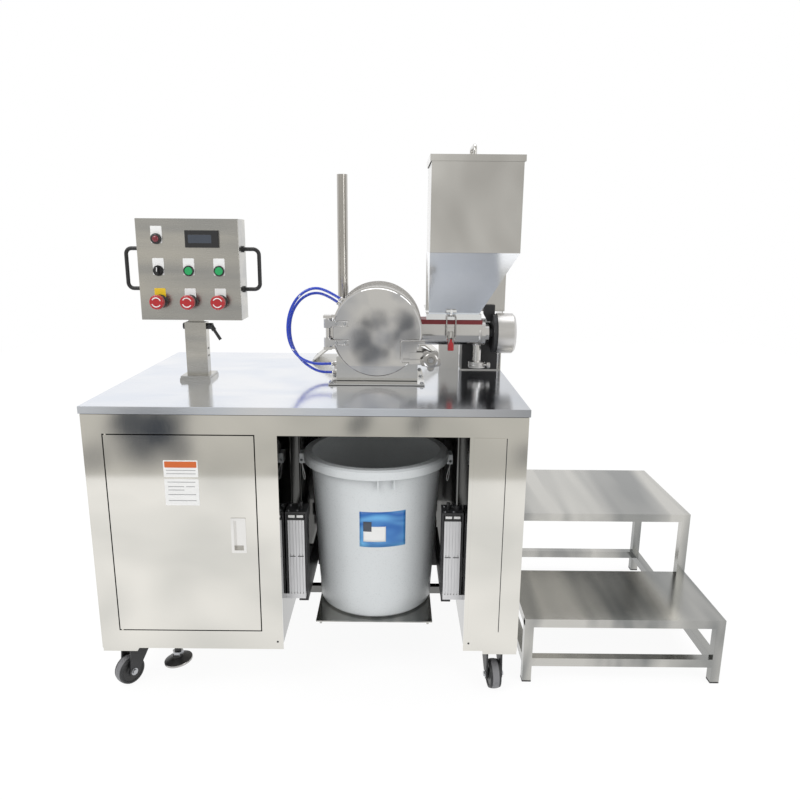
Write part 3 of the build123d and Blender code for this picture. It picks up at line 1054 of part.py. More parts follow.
with BuildPart() as lift_platform:
    block(BAY_X - PLATFORM_W / 2, BAY_X + PLATFORM_W / 2, PLATFORM_Y0, CROSS_Y, PLATFORM_Z - PLATFORM_T,
          PLATFORM_Z)
    for side in (-1, 1):
        edge = BAY_X + side * (PLATFORM_W / 2 - 12)
        block(edge - 3, edge + 3, PLATFORM_Y0 + 12, CROSS_Y, PLATFORM_Z - 15, PLATFORM_Z - PLATFORM_T)
save(lift_platform, "lift_platform")

# Bucket: tapered wall, rolled rim, two ears and the short ribs under the rim
RIM_Z = BUCKET_H - RIM_H
with BuildPart() as bucket:
    with BuildSketch(Plane(origin=at(BAY_X, BUCKET_Y, PLATFORM_Z), x_dir=(1, 0, 0), z_dir=(0, -1, 0))):
        with BuildLine():
            Polyline((0, 0), (BUCKET_R0 - 6, 0), (BUCKET_R0, 6), (BUCKET_R1, RIM_Z - 2),
                     (BUCKET_R1, BUCKET_H - 7), (RIM_R - 4, BUCKET_H - 7), (RIM_R - 4, RIM_Z),
                     (RIM_R, RIM_Z), (RIM_R, BUCKET_H - 5), (RIM_R - 5, BUCKET_H),
                     (BUCKET_R1 - BUCKET_WALL, BUCKET_H), (BUCKET_R1 - BUCKET_WALL, RIM_Z),
                     (BUCKET_R0 - BUCKET_WALL, 8), (BUCKET_R0 - 8, BUCKET_WALL), (0, BUCKET_WALL),
                     close=True)
        make_face()
    revolve(axis=Axis(at(BAY_X, BUCKET_Y), (0, 0, 1)))
    for side in (-1, 1):
        ear_x = BAY_X + side * (RIM_R + 4)
        block(ear_x - 8, ear_x + 8, BUCKET_Y - 20, BUCKET_Y + 20, PLATFORM_Z + RIM_Z - 14,
              PLATFORM_Z + RIM_Z + 14)
        rod(at(ear_x + side * 2, BUCKET_Y - 20, PLATFORM_Z + RIM_Z - 5), (0, 1, 0), 40, 4, Mode.SUBTRACT)
    with Locations(at(BAY_X, BUCKET_Y, PLATFORM_Z + RIM_Z - 30)):
        with PolarLocations(BUCKET_R1 + 5.5, 2, start_angle=-87, angular_range=25):
            Box(16, 4, 36, align=(Align.CENTER, Align.CENTER, Align.MIN))
save(bucket, "bucket")

# Cooling hoses: from the drum's upper unions round to its lower ones
HOSE_MIDS = (
    ((26.0, 258.0), (-14.0, 266.0), (-54.0, 244.0), (-80.0, 202.0), (-90.0, 152.0), (-84.0, 104.0),
     (-60.0, 66.0), (-24.0, 49.0), (8.0, 46.0)),
    ((20.0, 246.0), (-18.0, 250.0), (-54.0, 230.0), (-78.0, 192.0), (-86.0, 146.0), (-80.0, 98.0),
     (-56.0, 56.0), (-20.0, 28.0), (12.0, 18.0)),
)
LOWER_UNION_X = MILL_X - SADDLE_W / 2 - UNION_L


def upper_union(angle):
    """The mouth of a union on the drum, in the x and z of the table."""
    reach = DRUM_R + UNION_L
    return (MILL_X + reach * math.cos(math.radians(angle)), MILL_Z + reach * math.sin(math.radians(angle)))


def corner_radii(points):
    """The largest tangent arc at each corner of a route: 0.45 of the shorter run over tan of half the turn."""
    radii = []
    for before, here, after in zip(points, points[1:], points[2:]):
        run_in = Vector(*here) - Vector(*before)
        run_out = Vector(*after) - Vector(*here)
        turn = math.radians(run_in.get_angle(run_out))
        radii.append(0.45 * min(run_in.length, run_out.length) / math.tan(turn / 2))
    return radii


for name, y, angle, mids, low_z in zip("ab", HOSE_YS, UPPER_UNION_ANGLES, HOSE_MIDS, LOWER_UNION_ZS):
    flat_points = [upper_union(angle), *mids, (LOWER_UNION_X, low_z)]
    route = [on_table(x, y, z) for x, z in flat_points]
    radii = corner_radii(route)
    print("hose", name, "arc radii", [round(r, 1) for r in radii])
    with BuildPart() as hose:
        with BuildLine() as hose_line:
            FilletPolyline(*route, radius=radii)
        hose_path = hose_line.wires()[0]
        with BuildSketch(Plane(origin=hose_path @ 0, z_dir=hose_path % 0)):
            Circle(HOSE_R)
        sweep(path=hose_path)
    print("hose", name, "length", round(hose_path.length, 1), "volume ratio",
          round(hose.part.volume / (math.pi * HOSE_R ** 2 * hose_path.length), 4))
    save(hose, f"cooling_hose_{name}")


# Loose two-tread step: welded square-tube frame under two sheet treads
def tube(x0, x1, y0, y1, z0, z1, along, mode):
    """The outside of one square tube, or with Mode.SUBTRACT the hollow inside it."""
    wall = 0.0 if mode is Mode.ADD else STEP_TUBE_WALL
    insets = [0.0 if axis == along else wall for axis in "xyz"]
    block(x0 + insets[0], x1 - insets[0], y0 + insets[1], y1 - insets[1], z0 + insets[2],
          z1 - insets[2], mode)


TREAD_SHEET = 3.0
LEG_ROWS = ((STEP_FRONT_Y, TREAD_LOW_Z), (STEP_MID_Y, TREAD_HIGH_Z), (STEP_BACK_Y - STEP_TUBE, TREAD_HIGH_Z))
with BuildPart() as steps:
    tubes = []
    for y, top in LEG_ROWS:
        for x in (STEP_X0, STEP_X1 - STEP_TUBE):
            tubes.append((x, x + STEP_TUBE, y, y + STEP_TUBE, STEP_CAP_H, top - STEP_TUBE, "z"))
        tubes.append((STEP_X0, STEP_X1, y, y + STEP_TUBE, top - STEP_TUBE, top - TREAD_SHEET, "x"))
    for y in (STEP_FRONT_Y, STEP_BACK_Y - STEP_TUBE):
        tubes.append((STEP_X0 + STEP_TUBE, STEP_X1 - STEP_TUBE, y, y + STEP_TUBE, STEP_BAR_Z,
                      STEP_BAR_Z + STEP_TUBE, "x"))
    for x in (STEP_X0, STEP_X1 - STEP_TUBE):
        for y0, y1, top in ((STEP_FRONT_Y + STEP_TUBE, STEP_MID_Y, TREAD_LOW_Z),
                            (STEP_MID_Y + STEP_TUBE, STEP_BACK_Y - STEP_TUBE, TREAD_HIGH_Z)):
            tubes.append((x, x + STEP_TUBE, y0, y1, top - STEP_TUBE, top - TREAD_SHEET, "y"))
            tubes.append((x, x + STEP_TUBE, y0, y1, STEP_BAR_Z, STEP_BAR_Z + STEP_TUBE, "y"))
    for box in tubes:
        tube(*box, Mode.ADD)
    for box in tubes:
        tube(*box, Mode.SUBTRACT)
    for y0, y1, top in ((STEP_FRONT_Y, STEP_MID_Y, TREAD_LOW_Z), (STEP_MID_Y, STEP_BACK_Y, TREAD_HIGH_Z)):
        block(STEP_X0, STEP_X1, y0, y1, top - TREAD_SHEET, top)
    for y, _ in LEG_ROWS:
        for x in (STEP_X0, STEP_X1 - STEP_TUBE):
            block(x, x + STEP_TUBE, y, y + STEP_TUBE, 0, STEP_CAP_H)
save(steps, "steps")
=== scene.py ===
"""Looks of the superfine pulverizer: materials, small fittings, lights and the camera.

Metres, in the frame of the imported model. Places on the machine are given in millimetres from the
cabinet's centre line (x), its front face (y) and the floor or the tabletop (z), and `place` and
`on_table` turn them into the frame.
"""
import math

import bmesh
import bpy
from mathutils import Matrix, Vector


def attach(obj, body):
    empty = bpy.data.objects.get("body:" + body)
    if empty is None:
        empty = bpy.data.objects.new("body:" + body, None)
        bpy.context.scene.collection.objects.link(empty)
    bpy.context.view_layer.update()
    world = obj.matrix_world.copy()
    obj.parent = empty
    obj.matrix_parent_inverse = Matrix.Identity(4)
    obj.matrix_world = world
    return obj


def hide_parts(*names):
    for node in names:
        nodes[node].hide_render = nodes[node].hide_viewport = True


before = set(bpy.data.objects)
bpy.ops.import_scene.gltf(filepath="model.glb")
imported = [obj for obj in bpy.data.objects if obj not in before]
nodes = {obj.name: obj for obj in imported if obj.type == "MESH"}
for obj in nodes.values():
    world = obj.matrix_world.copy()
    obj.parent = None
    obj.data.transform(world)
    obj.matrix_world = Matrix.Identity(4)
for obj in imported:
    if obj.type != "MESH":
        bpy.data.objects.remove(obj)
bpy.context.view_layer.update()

# Where the machine stands in the frame, in millimetres
MX = -295.0
FY = -409.0
TABLE_H = 815.0

# Camera
EYE = (222.0, -1661.9, 1223.2)
PITCH = math.radians(13.64)
YAW = math.radians(-0.11)
ROLL = math.radians(0.46)
LENS_MM = 31.63
SHIFT = (0.00755, 0.0082)

# Places that the small fittings share
MILL_X = 169.0
MILL_Z = 146.0
MILL_DOOR_Y = 285.0
BUCKET_Y = 243.0
PLATFORM_Z = 200.0
PANEL_X = -352.0
PANEL_Y = 315.0
COLUMNS = (PANEL_X - 84.0, PANEL_X, PANEL_X + 84.0)
LAMP_Z, START_Z, STOP_Z = 396.0, 310.0, 226.0
LATCH_X = 384.0


def place(x, y, z=0.0):
    """A point of the machine in the frame, in metres."""
    return Vector(((MX + x) / 1000, (FY + y) / 1000, z / 1000))


def on_table(x, y, z=0.0):
    """The same, with z counted from the tabletop."""
    return place(x, y, TABLE_H + z)


# Materials


class Graph:
    """A material's node tree, with short calls for the few nodes used here."""

    def __init__(self, name):
        self.material = bpy.data.materials.new(name)
        self.material.use_nodes = True
        self.tree = self.material.node_tree
        self.shader = self.tree.nodes["Principled BSDF"]
        self.coords = self.tree.nodes.new("ShaderNodeTexCoord").outputs["Object"]

    def link(self, source, target):
        self.tree.links.new(source, target)

    def noise(self, scale, stretch=(1, 1, 1), detail=3.0, distortion=0.0):
        """Noise over the object, squeezed along its axes."""
        mapping = self.tree.nodes.new("ShaderNodeMapping")
        mapping.inputs["Scale"].default_value = stretch
        texture = self.tree.nodes.new("ShaderNodeTexNoise")
        texture.inputs["Scale"].default_value = scale
        texture.inputs["Detail"].default_value = detail
        texture.inputs["Distortion"].default_value = distortion
        self.link(self.coords, mapping.inputs["Vector"])
        self.link(mapping.outputs["Vector"], texture.inputs["Vector"])
        return texture.outputs["Fac"]

    def ramp(self, source, low, high, start=0.3, end=0.7):
        """A two-stop colour ramp."""
        node = self.tree.nodes.new("ShaderNodeValToRGB")
        node.color_ramp.elements[0].position = start
        node.color_ramp.elements[1].position = end
        node.color_ramp.elements[0].color = (*low, 1)
        node.color_ramp.elements[1].color = (*high, 1)
        self.link(source, node.inputs["Fac"])
        return node.outputs["Color"]

    def level(self, source, low, high, start=0.3, end=0.7):
        """Maps a value to a range."""
        node = self.tree.nodes.new("ShaderNodeMapRange")
        node.inputs["From Min"].default_value = start
        node.inputs["From Max"].default_value = end
        node.inputs["To Min"].default_value = low
        node.inputs["To Max"].default_value = high
        self.link(source, node.inputs["Value"])
        return node.outputs["Result"]

    def mix(self, share, base, other):
        """Blends a colour socket towards a plain colour."""
        node = self.tree.nodes.new("ShaderNodeMix")
        node.data_type = "RGBA"
        self.link(share, node.inputs[0])
        self.link(base, node.inputs[6])
        node.inputs[7].default_value = (*other, 1)
        return node.outputs[2]

    def along(self, axis, start, end):
        """Zero to one along an axis of the frame, between two places in metres."""
        split = self.tree.nodes.new("ShaderNodeSeparateXYZ")
        self.link(self.coords, split.inputs["Vector"])
        return self.level(split.outputs[axis], 0.0, 1.0, start, end)

    def times(self, first, second):
        """The product of two values."""
        node = self.tree.nodes.new("ShaderNodeMath")
        node.operation = "MULTIPLY"
        self.link(first, node.inputs[0])
        self.link(second, node.inputs[1])
        return node.outputs[0]

    def bump(self, source, strength, distance, after=None):
        """Adds a bump to the shader's normal."""
        node = self.tree.nodes.new("ShaderNodeBump")
        node.inputs["Strength"].default_value = strength
        node.inputs["Distance"].default_value = distance
        self.link(source, node.inputs["Height"])
        if after is not None:
            self.link(after, node.inputs["Normal"])
        self.link(node.outputs["Normal"], self.shader.inputs["Normal"])
        return node.outputs["Normal"]

    def set(self, **values):
        """Sets the shader's own sockets, with _ for a space in the name."""
        for key, value in values.items():
            self.shader.inputs[key.replace("_", " ")].default_value = value
        return self


def steel(name, colour, rough, grain=(1, 1, 1), grain_scale=900.0, grain_bump=0.006, wave=0.0,
          wave_scale=5.0, shade=None, cloud=(1, 1, 1), cloud_scale=3.0, span=(0.38, 0.62), painted_light=None):
    """Stainless sheet: a grain drawn out along one axis, slow clouds of tone and a slow waviness.

    The last argument is a pair: a function that gives the share of a colour painted in as light or shade at
    each place, and that colour.
    """
    graph = Graph(name).set(Metallic=1.0)
    tone = graph.noise(cloud_scale, cloud, detail=2.0, distortion=0.4)
    dark = shade or tuple(c * 0.88 for c in colour)
    base = graph.ramp(tone, dark, colour, *span)
    # Painted light: a colour blended in by place, standing for shade, highlight or reflection
    if painted_light:
        share, other = painted_light[0](graph), painted_light[1]
        base = graph.mix(share, base, other)
    graph.link(base, graph.shader.inputs["Base Color"])
    grain_noise = graph.noise(grain_scale, grain, detail=2.0)
    graph.link(graph.level(grain_noise, rough * 0.85, rough * 1.15), graph.shader.inputs["Roughness"])
    normal = graph.bump(grain_noise, grain_bump, 0.0004)
    if wave:
        graph.bump(graph.noise(wave_scale, detail=1.0), wave, 0.004, after=normal)
    return graph.material


def plastic(name, colour, rough, bump=0.03, bump_scale=900.0, coat=0.0, mottle=0.92):
    """Moulded plastic, rubber or paint with a fine texture and a slight variation of colour."""
    graph = Graph(name).set(Coat_Weight=coat, Coat_Roughness=0.08)
    cloud = graph.noise(14.0, detail=2.0)
    dark = tuple(c * mottle for c in colour)
    graph.link(graph.ramp(cloud, dark, colour), graph.shader.inputs["Base Color"])
    fine = graph.noise(bump_scale, detail=2.0)
    graph.link(graph.level(fine, rough * 0.85, rough * 1.15), graph.shader.inputs["Roughness"])
    graph.bump(fine, bump, 0.0004)
    return graph.material


ALONG_X = (0.03, 1, 1)
ALONG_Z = (1, 1, 0.03)
BAY_HALF = 238.0
CONE_TOP = 366.0


def bay_painted_shade(graph):
    """Painted shade: one on the walls of the bay under the tabletop, away from the front's face, where they
    are darkened as if shaded.
    """
    low, high = place(MILL_X - BAY_HALF - 1, 4), place(MILL_X + BAY_HALF + 1, 0)
    across = graph.times(graph.along("X", low.x, low.x + 0.0005), graph.along("X", high.x + 0.0005, high.x))
    return graph.times(across, graph.along("Y", low.y, low.y + 0.002))


def cone_painted_highlight(graph):
    """Painted highlight: one on the hopper's sloping lower half, which is painted brighter."""
    cone_low, cone_top = on_table(0, 0, 168).z, on_table(0, 0, CONE_TOP).z
    above = graph.along("Z", cone_low, cone_low + 0.002)
    return graph.times(above, graph.along("Z", cone_top, cone_top - 0.002))


def right_end_painted_reflection(graph):
    """Painted reflection: grows to one towards the tabletop's right end, where the tabletop is darkened as if
    it mirrored dark things in the room.
    """
    return graph.along("X", place(180, 0).x, place(640, 0).x)


# Painted shade: inside the bay the sheet's colour is darkened to (0.16, 0.16, 0.155)
sheet_steel = steel("sheet_steel", (0.76, 0.74, 0.69), 0.07, ALONG_Z, wave=0.10, wave_scale=2.6,
                    shade=(0.62, 0.61, 0.57), cloud=(1, 1, 1.6), cloud_scale=2.2,
                    painted_light=(bay_painted_shade, (0.16, 0.16, 0.155)))
panel_steel = steel("panel_steel", (0.60, 0.58, 0.53), 0.24, ALONG_X, wave=0.06, wave_scale=4.0,
                    shade=(0.42, 0.42, 0.41), cloud=(0.25, 1, 2.2), cloud_scale=5.0, span=(0.36, 0.60))
# Painted reflection: the tabletop darkens towards its right end to (0.34, 0.36, 0.40), and its clouds run to
# a bluish shade that partly stands for reflected patches
top_steel = steel("top_steel", (0.84, 0.85, 0.88), 0.14, ALONG_X, wave=0.04, wave_scale=4.0,
                  shade=(0.72, 0.76, 0.84), cloud=(1.3, 2.2, 1), cloud_scale=2.6, span=(0.34, 0.66),
                  painted_light=(right_end_painted_reflection, (0.34, 0.36, 0.40)))
mirror_steel = steel("mirror_steel", (0.70, 0.70, 0.69), 0.12, wave=0.20, wave_scale=7.0)
door_steel = steel("door_steel", (0.74, 0.73, 0.72), 0.05, wave=0.10, wave_scale=9.0,
                   shade=(0.52, 0.53, 0.56), cloud_scale=9.0, span=(0.36, 0.62))
# Painted highlight: the hopper's sloping lower half is lightened to a bright bluish white (0.95, 0.97, 1.0)
hopper_steel = steel("hopper_steel", (0.76, 0.75, 0.73), 0.14, ALONG_X, wave=0.20, wave_scale=4.0,
                     shade=(0.56, 0.55, 0.53), cloud=(1.4, 1.4, 1), cloud_scale=3.2,
                     painted_light=(cone_painted_highlight, (0.95, 0.97, 1.0)))
column_steel = steel("column_steel", (0.68, 0.67, 0.65), 0.20, ALONG_X, wave=0.10, wave_scale=4.0,
                     cloud_scale=4.0)
turned_steel = steel("turned_steel", (0.72, 0.71, 0.70), 0.16, ALONG_X)
drum_steel = steel("drum_steel", (0.62, 0.61, 0.60), 0.33, ALONG_X, grain_bump=0.02)
tube_steel = steel("tube_steel", (0.52, 0.50, 0.47), 0.18, ALONG_Z, grain_bump=0.0)
# Painted reflection in part: the treads' clouds are drawn out into dark streaks along y, down to (0.25,
# 0.255, 0.25), for things mirrored from behind; otherwise random tone
tread_steel = steel("tread_steel", (0.54, 0.53, 0.50), 0.20, ALONG_X, wave=0.05,
                    shade=(0.25, 0.255, 0.25), cloud=(3.4, 0.25, 1), cloud_scale=2.4, span=(0.36, 0.60))
cast_steel = steel("cast_steel", (0.48, 0.47, 0.46), 0.20, grain_scale=500, grain_bump=0.05)
zinc = steel("zinc", (0.48, 0.49, 0.51), 0.26, grain_scale=300, grain_bump=0.04)
aluminium = steel("aluminium", (0.66, 0.66, 0.67), 0.34, ALONG_Z)
black_paint = plastic("black_paint", (0.022, 0.022, 0.024), 0.42)
black_plastic = plastic("black_plastic", (0.016, 0.016, 0.017), 0.38)
tyre_rubber = plastic("tyre_rubber", (0.030, 0.031, 0.033), 0.50, bump=0.08, bump_scale=500)
bucket_plastic = plastic("bucket_plastic", (0.62, 0.645, 0.655), 0.30, bump=0.02, bump_scale=260,
                         mottle=0.97)
white_plastic = plastic("white_plastic", (0.76, 0.76, 0.75), 0.40, mottle=0.97)
red_plastic = plastic("red_plastic", (0.40, 0.008, 0.014), 0.24, coat=0.5)
lens_red = plastic("lens_red", (0.16, 0.004, 0.016), 0.14, coat=0.8)
green_plastic = plastic("green_plastic", (0.010, 0.34, 0.10), 0.26, coat=0.4)
yellow_film = plastic("yellow_film", (0.78, 0.52, 0.012), 0.40)
grey_film = plastic("grey_film", (0.30, 0.30, 0.31), 0.40)
orange_film = plastic("orange_film", (0.58, 0.12, 0.02), 0.40)
gasket_red = plastic("gasket_red", (0.17, 0.014, 0.018), 0.40)
seal_rubber = plastic("seal_rubber", (0.70, 0.69, 0.64), 0.6)
hose_blue = plastic("hose_blue", (0.004, 0.040, 0.46), 0.20, coat=0.6)
lcd_glass = plastic("lcd_glass", (0.052, 0.062, 0.080), 0.12, bump=0.0)

NODE_LOOKS = {
    sheet_steel: ("left_cabinet", "right_cabinet", "top_frame", "cabinet_door"),
    top_steel: ("tabletop",),
    panel_steel: ("panel_box", "panel_post", "motor_stand"),
    door_steel: ("mill_door",),
    mirror_steel: ("mill_saddle", "discharge_hood"),
    tube_steel: ("exhaust_pipe",),
    turned_steel: ("mill_drum", "feed_trough", "mill_liner"),
    drum_steel: ("drive_drum",),
    hopper_steel: ("hopper", "hopper_lid", "door_pull"),
    column_steel: ("hopper_column",),
    tread_steel: ("steps", "lift_platform"),
    cast_steel: ("star_knob", "rotor", "bearing_housing", "latch_lever", "latch_bail", "feed_screw",
                 "lift_rods"),
    aluminium: ("lift_cylinders",),
    black_paint: ("lift_frame", "feed_gearbox", "mill_motor", "caster_plates"),
    black_plastic: ("panel_handles", "clamp_lever", "panel_fittings", "selector_knob"),
    red_plastic: ("stop_button_left", "stop_button_middle", "stop_button_right"),
    green_plastic: ("start_button_a", "start_button_b"),
    bucket_plastic: ("bucket",),
    gasket_red: ("hopper_gasket",),
    seal_rubber: ("mill_door_seal",),
    hose_blue: ("cooling_hose_a", "cooling_hose_b"),
}
CORNERS = ("front_left", "front_right", "rear_left", "rear_right")
for look, names in NODE_LOOKS.items():
    for node_name in names:
        nodes[node_name].data.materials.clear()
        nodes[node_name].data.materials.append(look)
for corner in CORNERS:
    for node_name, look in ((f"caster_fork_{corner}", black_paint), (f"caster_wheel_{corner}", tyre_rubber),
                            (f"leveling_foot_{corner}", black_plastic)):
        nodes[node_name].data.materials.clear()
        nodes[node_name].data.materials.append(look)


# Pieces


def finish_piece(mesh_or_curve, name, body, look, bevel=0.0, smooth=True):
    """Makes the object, gives it its look and lets it ride on its body."""
    piece = bpy.data.objects.new(name, mesh_or_curve)
    bpy.context.scene.collection.objects.link(piece)
    piece.data.materials.append(look)
    if bevel:
        modifier = piece.modifiers.new("bevel", "BEVEL")
        modifier.width = bevel / 1000
        modifier.segments = 3
        modifier.limit_method = "ANGLE"
    if smooth and isinstance(mesh_or_curve, bpy.types.Mesh):
        for polygon in mesh_or_curve.polygons:
            polygon.use_smooth = True
        if bevel:
            piece.modifiers.new("normals", "WEIGHTED_NORMAL").keep_sharp = True
    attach(piece, body)
    return piece


def mesh_from(builder, name):
    """Turns a filled bmesh into a mesh."""
    mesh = bpy.data.meshes.new(name)
    builder.to_mesh(mesh)
    builder.free()
    return mesh


def facing(axis):
    """A rotation that turns +Z to a direction."""
    return Vector((0, 0, 1)).rotation_difference(Vector(axis)).to_matrix().to_4x4()


def add_prism(builder, outline, centre, axis, height, turn=0.0):
    """Adds a straight prism of an outline in millimetres, standing on a point along an axis."""
    base = Matrix.Translation(centre) @ facing(axis) @ Matrix.Rotation(turn, 4, "Z")
    rings = []
    for z in (0.0, height):
        rings.append([builder.verts.new(base @ Vector((x / 1000, y / 1000, z / 1000))) for x, y in outline])
    builder.faces.new(list(reversed(rings[0])))
    builder.faces.new(rings[1])
    count = len(outline)
    for i in range(count):
        j = (i + 1) % count
        builder.faces.new((rings[0][i], rings[0][j], rings[1][j], rings[1][i]))


def polygon(radius, sides):
    """A regular outline."""
    return [(radius * math.cos(2 * math.pi * i / sides), radius * math.sin(2 * math.pi * i / sides))
            for i in range(sides)]


def rounded(width, height, radius, steps=5):
    """A rounded rectangle's outline."""
    points = []
    for corner_index, (sx, sy) in enumerate(((1, 1), (-1, 1), (-1, -1), (1, -1))):
        for i in range(steps + 1):
            angle = math.pi / 2 * (corner_index + i / steps)
            points.append((sx * (width / 2 - radius) + radius * math.cos(angle),
                           sy * (height / 2 - radius) + radius * math.sin(angle)))
    return points


FRONT = (0, -1, 0)


def plate(name, x, y, z, width, height, body, look, thick=0.8, radius=2.0):
    """A thin rounded plate on a face that looks to the front."""
    builder = bmesh.new()
    base = place(x, y, z)
    outline = rounded(width, height, radius)
    rings = []
    for depth in (0.0, -thick / 1000):
        rings.append([builder.verts.new(base + Vector((u / 1000, depth, v / 1000))) for u, v in outline])
    builder.faces.new(rings[0])
    builder.faces.new(list(reversed(rings[1])))
    for i in range(len(outline)):
        j = (i + 1) % len(outline)
        builder.faces.new((rings[0][j], rings[0][i], rings[1][i], rings[1][j]))
    return finish_piece(mesh_from(builder, name), name, body, look, bevel=0.25, smooth=False)


def screws(name, places, axis, body, look=None, radius=4.0, height=3.0, sides=6, washer=1.35):
    """A set of screw heads with washers."""
    builder = bmesh.new()
    direction = Vector(axis)
    for index, centre in enumerate(places):
        add_prism(builder, polygon(radius * washer, 28), centre, axis, height * 0.25)
        add_prism(builder, polygon(radius, sides), centre + direction * height * 0.25 / 1000, axis,
                  height * 0.75, turn=0.4 * index)
    return finish_piece(mesh_from(builder, name), name, body, look or zinc, bevel=0.35)


def lathe(name, profile, centre, axis, body, look, sides=64):
    """A turned piece from its (radius, height) profile in millimetres."""
    builder = bmesh.new()
    base = Matrix.Translation(centre) @ facing(axis)
    rings = []
    for radius, height in profile:
        if radius < 1e-6:
            rings.append([builder.verts.new(base @ Vector((0, 0, height / 1000)))])
            continue
        rings.append([builder.verts.new(base @ Vector((radius / 1000 * math.cos(2 * math.pi * i / sides),
                                                       radius / 1000 * math.sin(2 * math.pi * i / sides),
                                                       height / 1000))) for i in range(sides)])
    for lower, upper in zip(rings, rings[1:]):
        for i in range(sides):
            j = (i + 1) % sides
            below, above = len(lower), len(upper)
            corners = [lower[i % below], lower[j % below], upper[j % above], upper[i % above]]
            unique = list(dict.fromkeys(corners))
            if len(unique) > 2:
                builder.faces.new(unique)
    bmesh.ops.recalc_face_normals(builder, faces=builder.faces)
    piece = finish_piece(mesh_from(builder, name), name, body, look)
    piece.modifiers.new("split", "EDGE_SPLIT").split_angle = math.radians(35)
    return piece


def wire(name, points, radius, body, look, smooth_line=True, cyclic=False):
    """A round bar or cord along points in the frame."""
    curve = bpy.data.curves.new(name, "CURVE")
    curve.dimensions = "3D"
    curve.bevel_depth = radius / 1000
    curve.bevel_resolution = 6
    curve.use_fill_caps = True
    spline = curve.splines.new("NURBS" if smooth_line else "POLY")
    spline.points.add(len(points) - 1)
    for point, place_at in zip(spline.points, points):
        point.co = (*place_at, 1)
    if smooth_line:
        spline.order_u = 3
        spline.use_endpoint_u = not cyclic
        spline.resolution_u = 10
    spline.use_cyclic_u = cyclic
    return finish_piece(curve, name, body, look)


# Cooling hoses, on their points between the unions of the drum and of the saddle
UNION_L = 16.0
DRUM_R = 121.0
SADDLE_W = 231.0
LOWER_UNION_X = MILL_X - SADDLE_W / 2 - UNION_L
HOSES = (
    ("a", 345.0, 140.0, 48.0, 0.421,
     ((26.0, 258.0), (-14.0, 266.0), (-54.0, 244.0), (-80.0, 202.0), (-90.0, 152.0), (-84.0, 104.0),
      (-60.0, 66.0), (-24.0, 49.0), (8.0, 46.0))),
    ("b", 362.0, 146.0, 20.0, 0.410,
     ((20.0, 246.0), (-18.0, 250.0), (-54.0, 230.0), (-78.0, 192.0), (-86.0, 146.0), (-80.0, 98.0),
      (-56.0, 56.0), (-20.0, 28.0), (12.0, 18.0))),
)
for letter, hose_y, angle, low_z, length, mids in HOSES:
    out = Vector((math.cos(math.radians(angle)), 0, math.sin(math.radians(angle))))
    mouth = on_table(MILL_X, hose_y, MILL_Z) + out * (DRUM_R + UNION_L) / 1000
    end = on_table(LOWER_UNION_X, hose_y, low_z)
    line = [mouth, *[on_table(x, hose_y, z) for x, z in mids], end]
    hose = wire(f"cooling_hose_{letter}_skin", line, 4.0, "base", hose_blue)
    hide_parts(f"cooling_hose_{letter}")
    for part, root, direction in (("top", mouth, out), ("low", end, Vector((-1, 0, 0)))):
        lathe(f"union_{letter}_{part}",
              ((4.3, 1.5), (6.5, 1.5), (7.2, 0.5), (7.2, -3.0), (6.2, -4.0), (6.2, -5.5), (7.6, -6.0),
               (7.6, -12.0), (6.1, -12.5)), root, direction, "base", cast_steel,
              sides=6 if part == "top" else 24)
for index, (x, z, lean) in enumerate(((-52.0, 240.0, 0.7), (-74.0, 88.0, -0.6))):
    tie_points = []
    for step in range(16):
        turn = 2 * math.pi * step / 16
        across = math.sin(turn) * 6.2
        tie_points.append(on_table(x + math.cos(lean) * across * 0.9, 353.5 + math.cos(turn) * 14.5,
                                   z + math.sin(lean) * across * 0.9))
    wire(f"hose_tie_{index}", tie_points, 1.3, "base", white_plastic, cyclic=True)

# Control panel: legend plates, meter glass, lamp lens, selector's mark and the stop heads' rings
for row_z, rows in ((START_Z, COLUMNS), (STOP_Z, COLUMNS), (LAMP_Z, COLUMNS[:1])):
    for index, x in enumerate(rows):
        look = yellow_film if row_z == STOP_Z and index == 0 else white_plastic
        lift = 13.0 if row_z == STOP_Z else 11.0
        plate(f"legend_{int(row_z)}_{index}", x, PANEL_Y, TABLE_H + row_z + lift, 31, 46, "panel", look)
METER_X = PANEL_X + 41.0
plate("meter_bezel", METER_X, PANEL_Y - 6, TABLE_H + LAMP_Z, 90, 44, "panel", black_plastic,
      thick=1.2, radius=3)
plate("meter_glass", METER_X - 5, PANEL_Y - 7.2, TABLE_H + LAMP_Z, 64, 22, "panel", lcd_glass,
      thick=0.4, radius=1)
lathe("lamp_lens", ((8.8, 0), (8.8, 4), (7.5, 5.4), (4.6, 6.3), (0, 6.6)),
      on_table(COLUMNS[0], PANEL_Y - 7, LAMP_Z), FRONT, "panel", lens_red)
lathe("lamp_ring", ((9.0, 6.5), (9.4, 7), (12.2, 6.6), (14.4, 5), (14.4, 3.4), (9.0, 3.4)),
      on_table(COLUMNS[0], PANEL_Y - 3, LAMP_Z), FRONT, "panel", black_plastic)
for letter, x in zip("ab", COLUMNS[1:]):
    lathe(f"button_ring_{letter}",
          ((11.5, 0.2), (11.5, 6.6), (12.2, 7), (14.2, 5.6), (14.4, 4.8), (14.4, 0.2)),
          on_table(x, PANEL_Y - 0.8, START_Z), FRONT, "panel", black_plastic)
plate("selector_mark", COLUMNS[0], PANEL_Y - 18, TABLE_H + START_Z + 4, 2.2, 12, "selector", white_plastic,
      thick=0.4, radius=0.8)
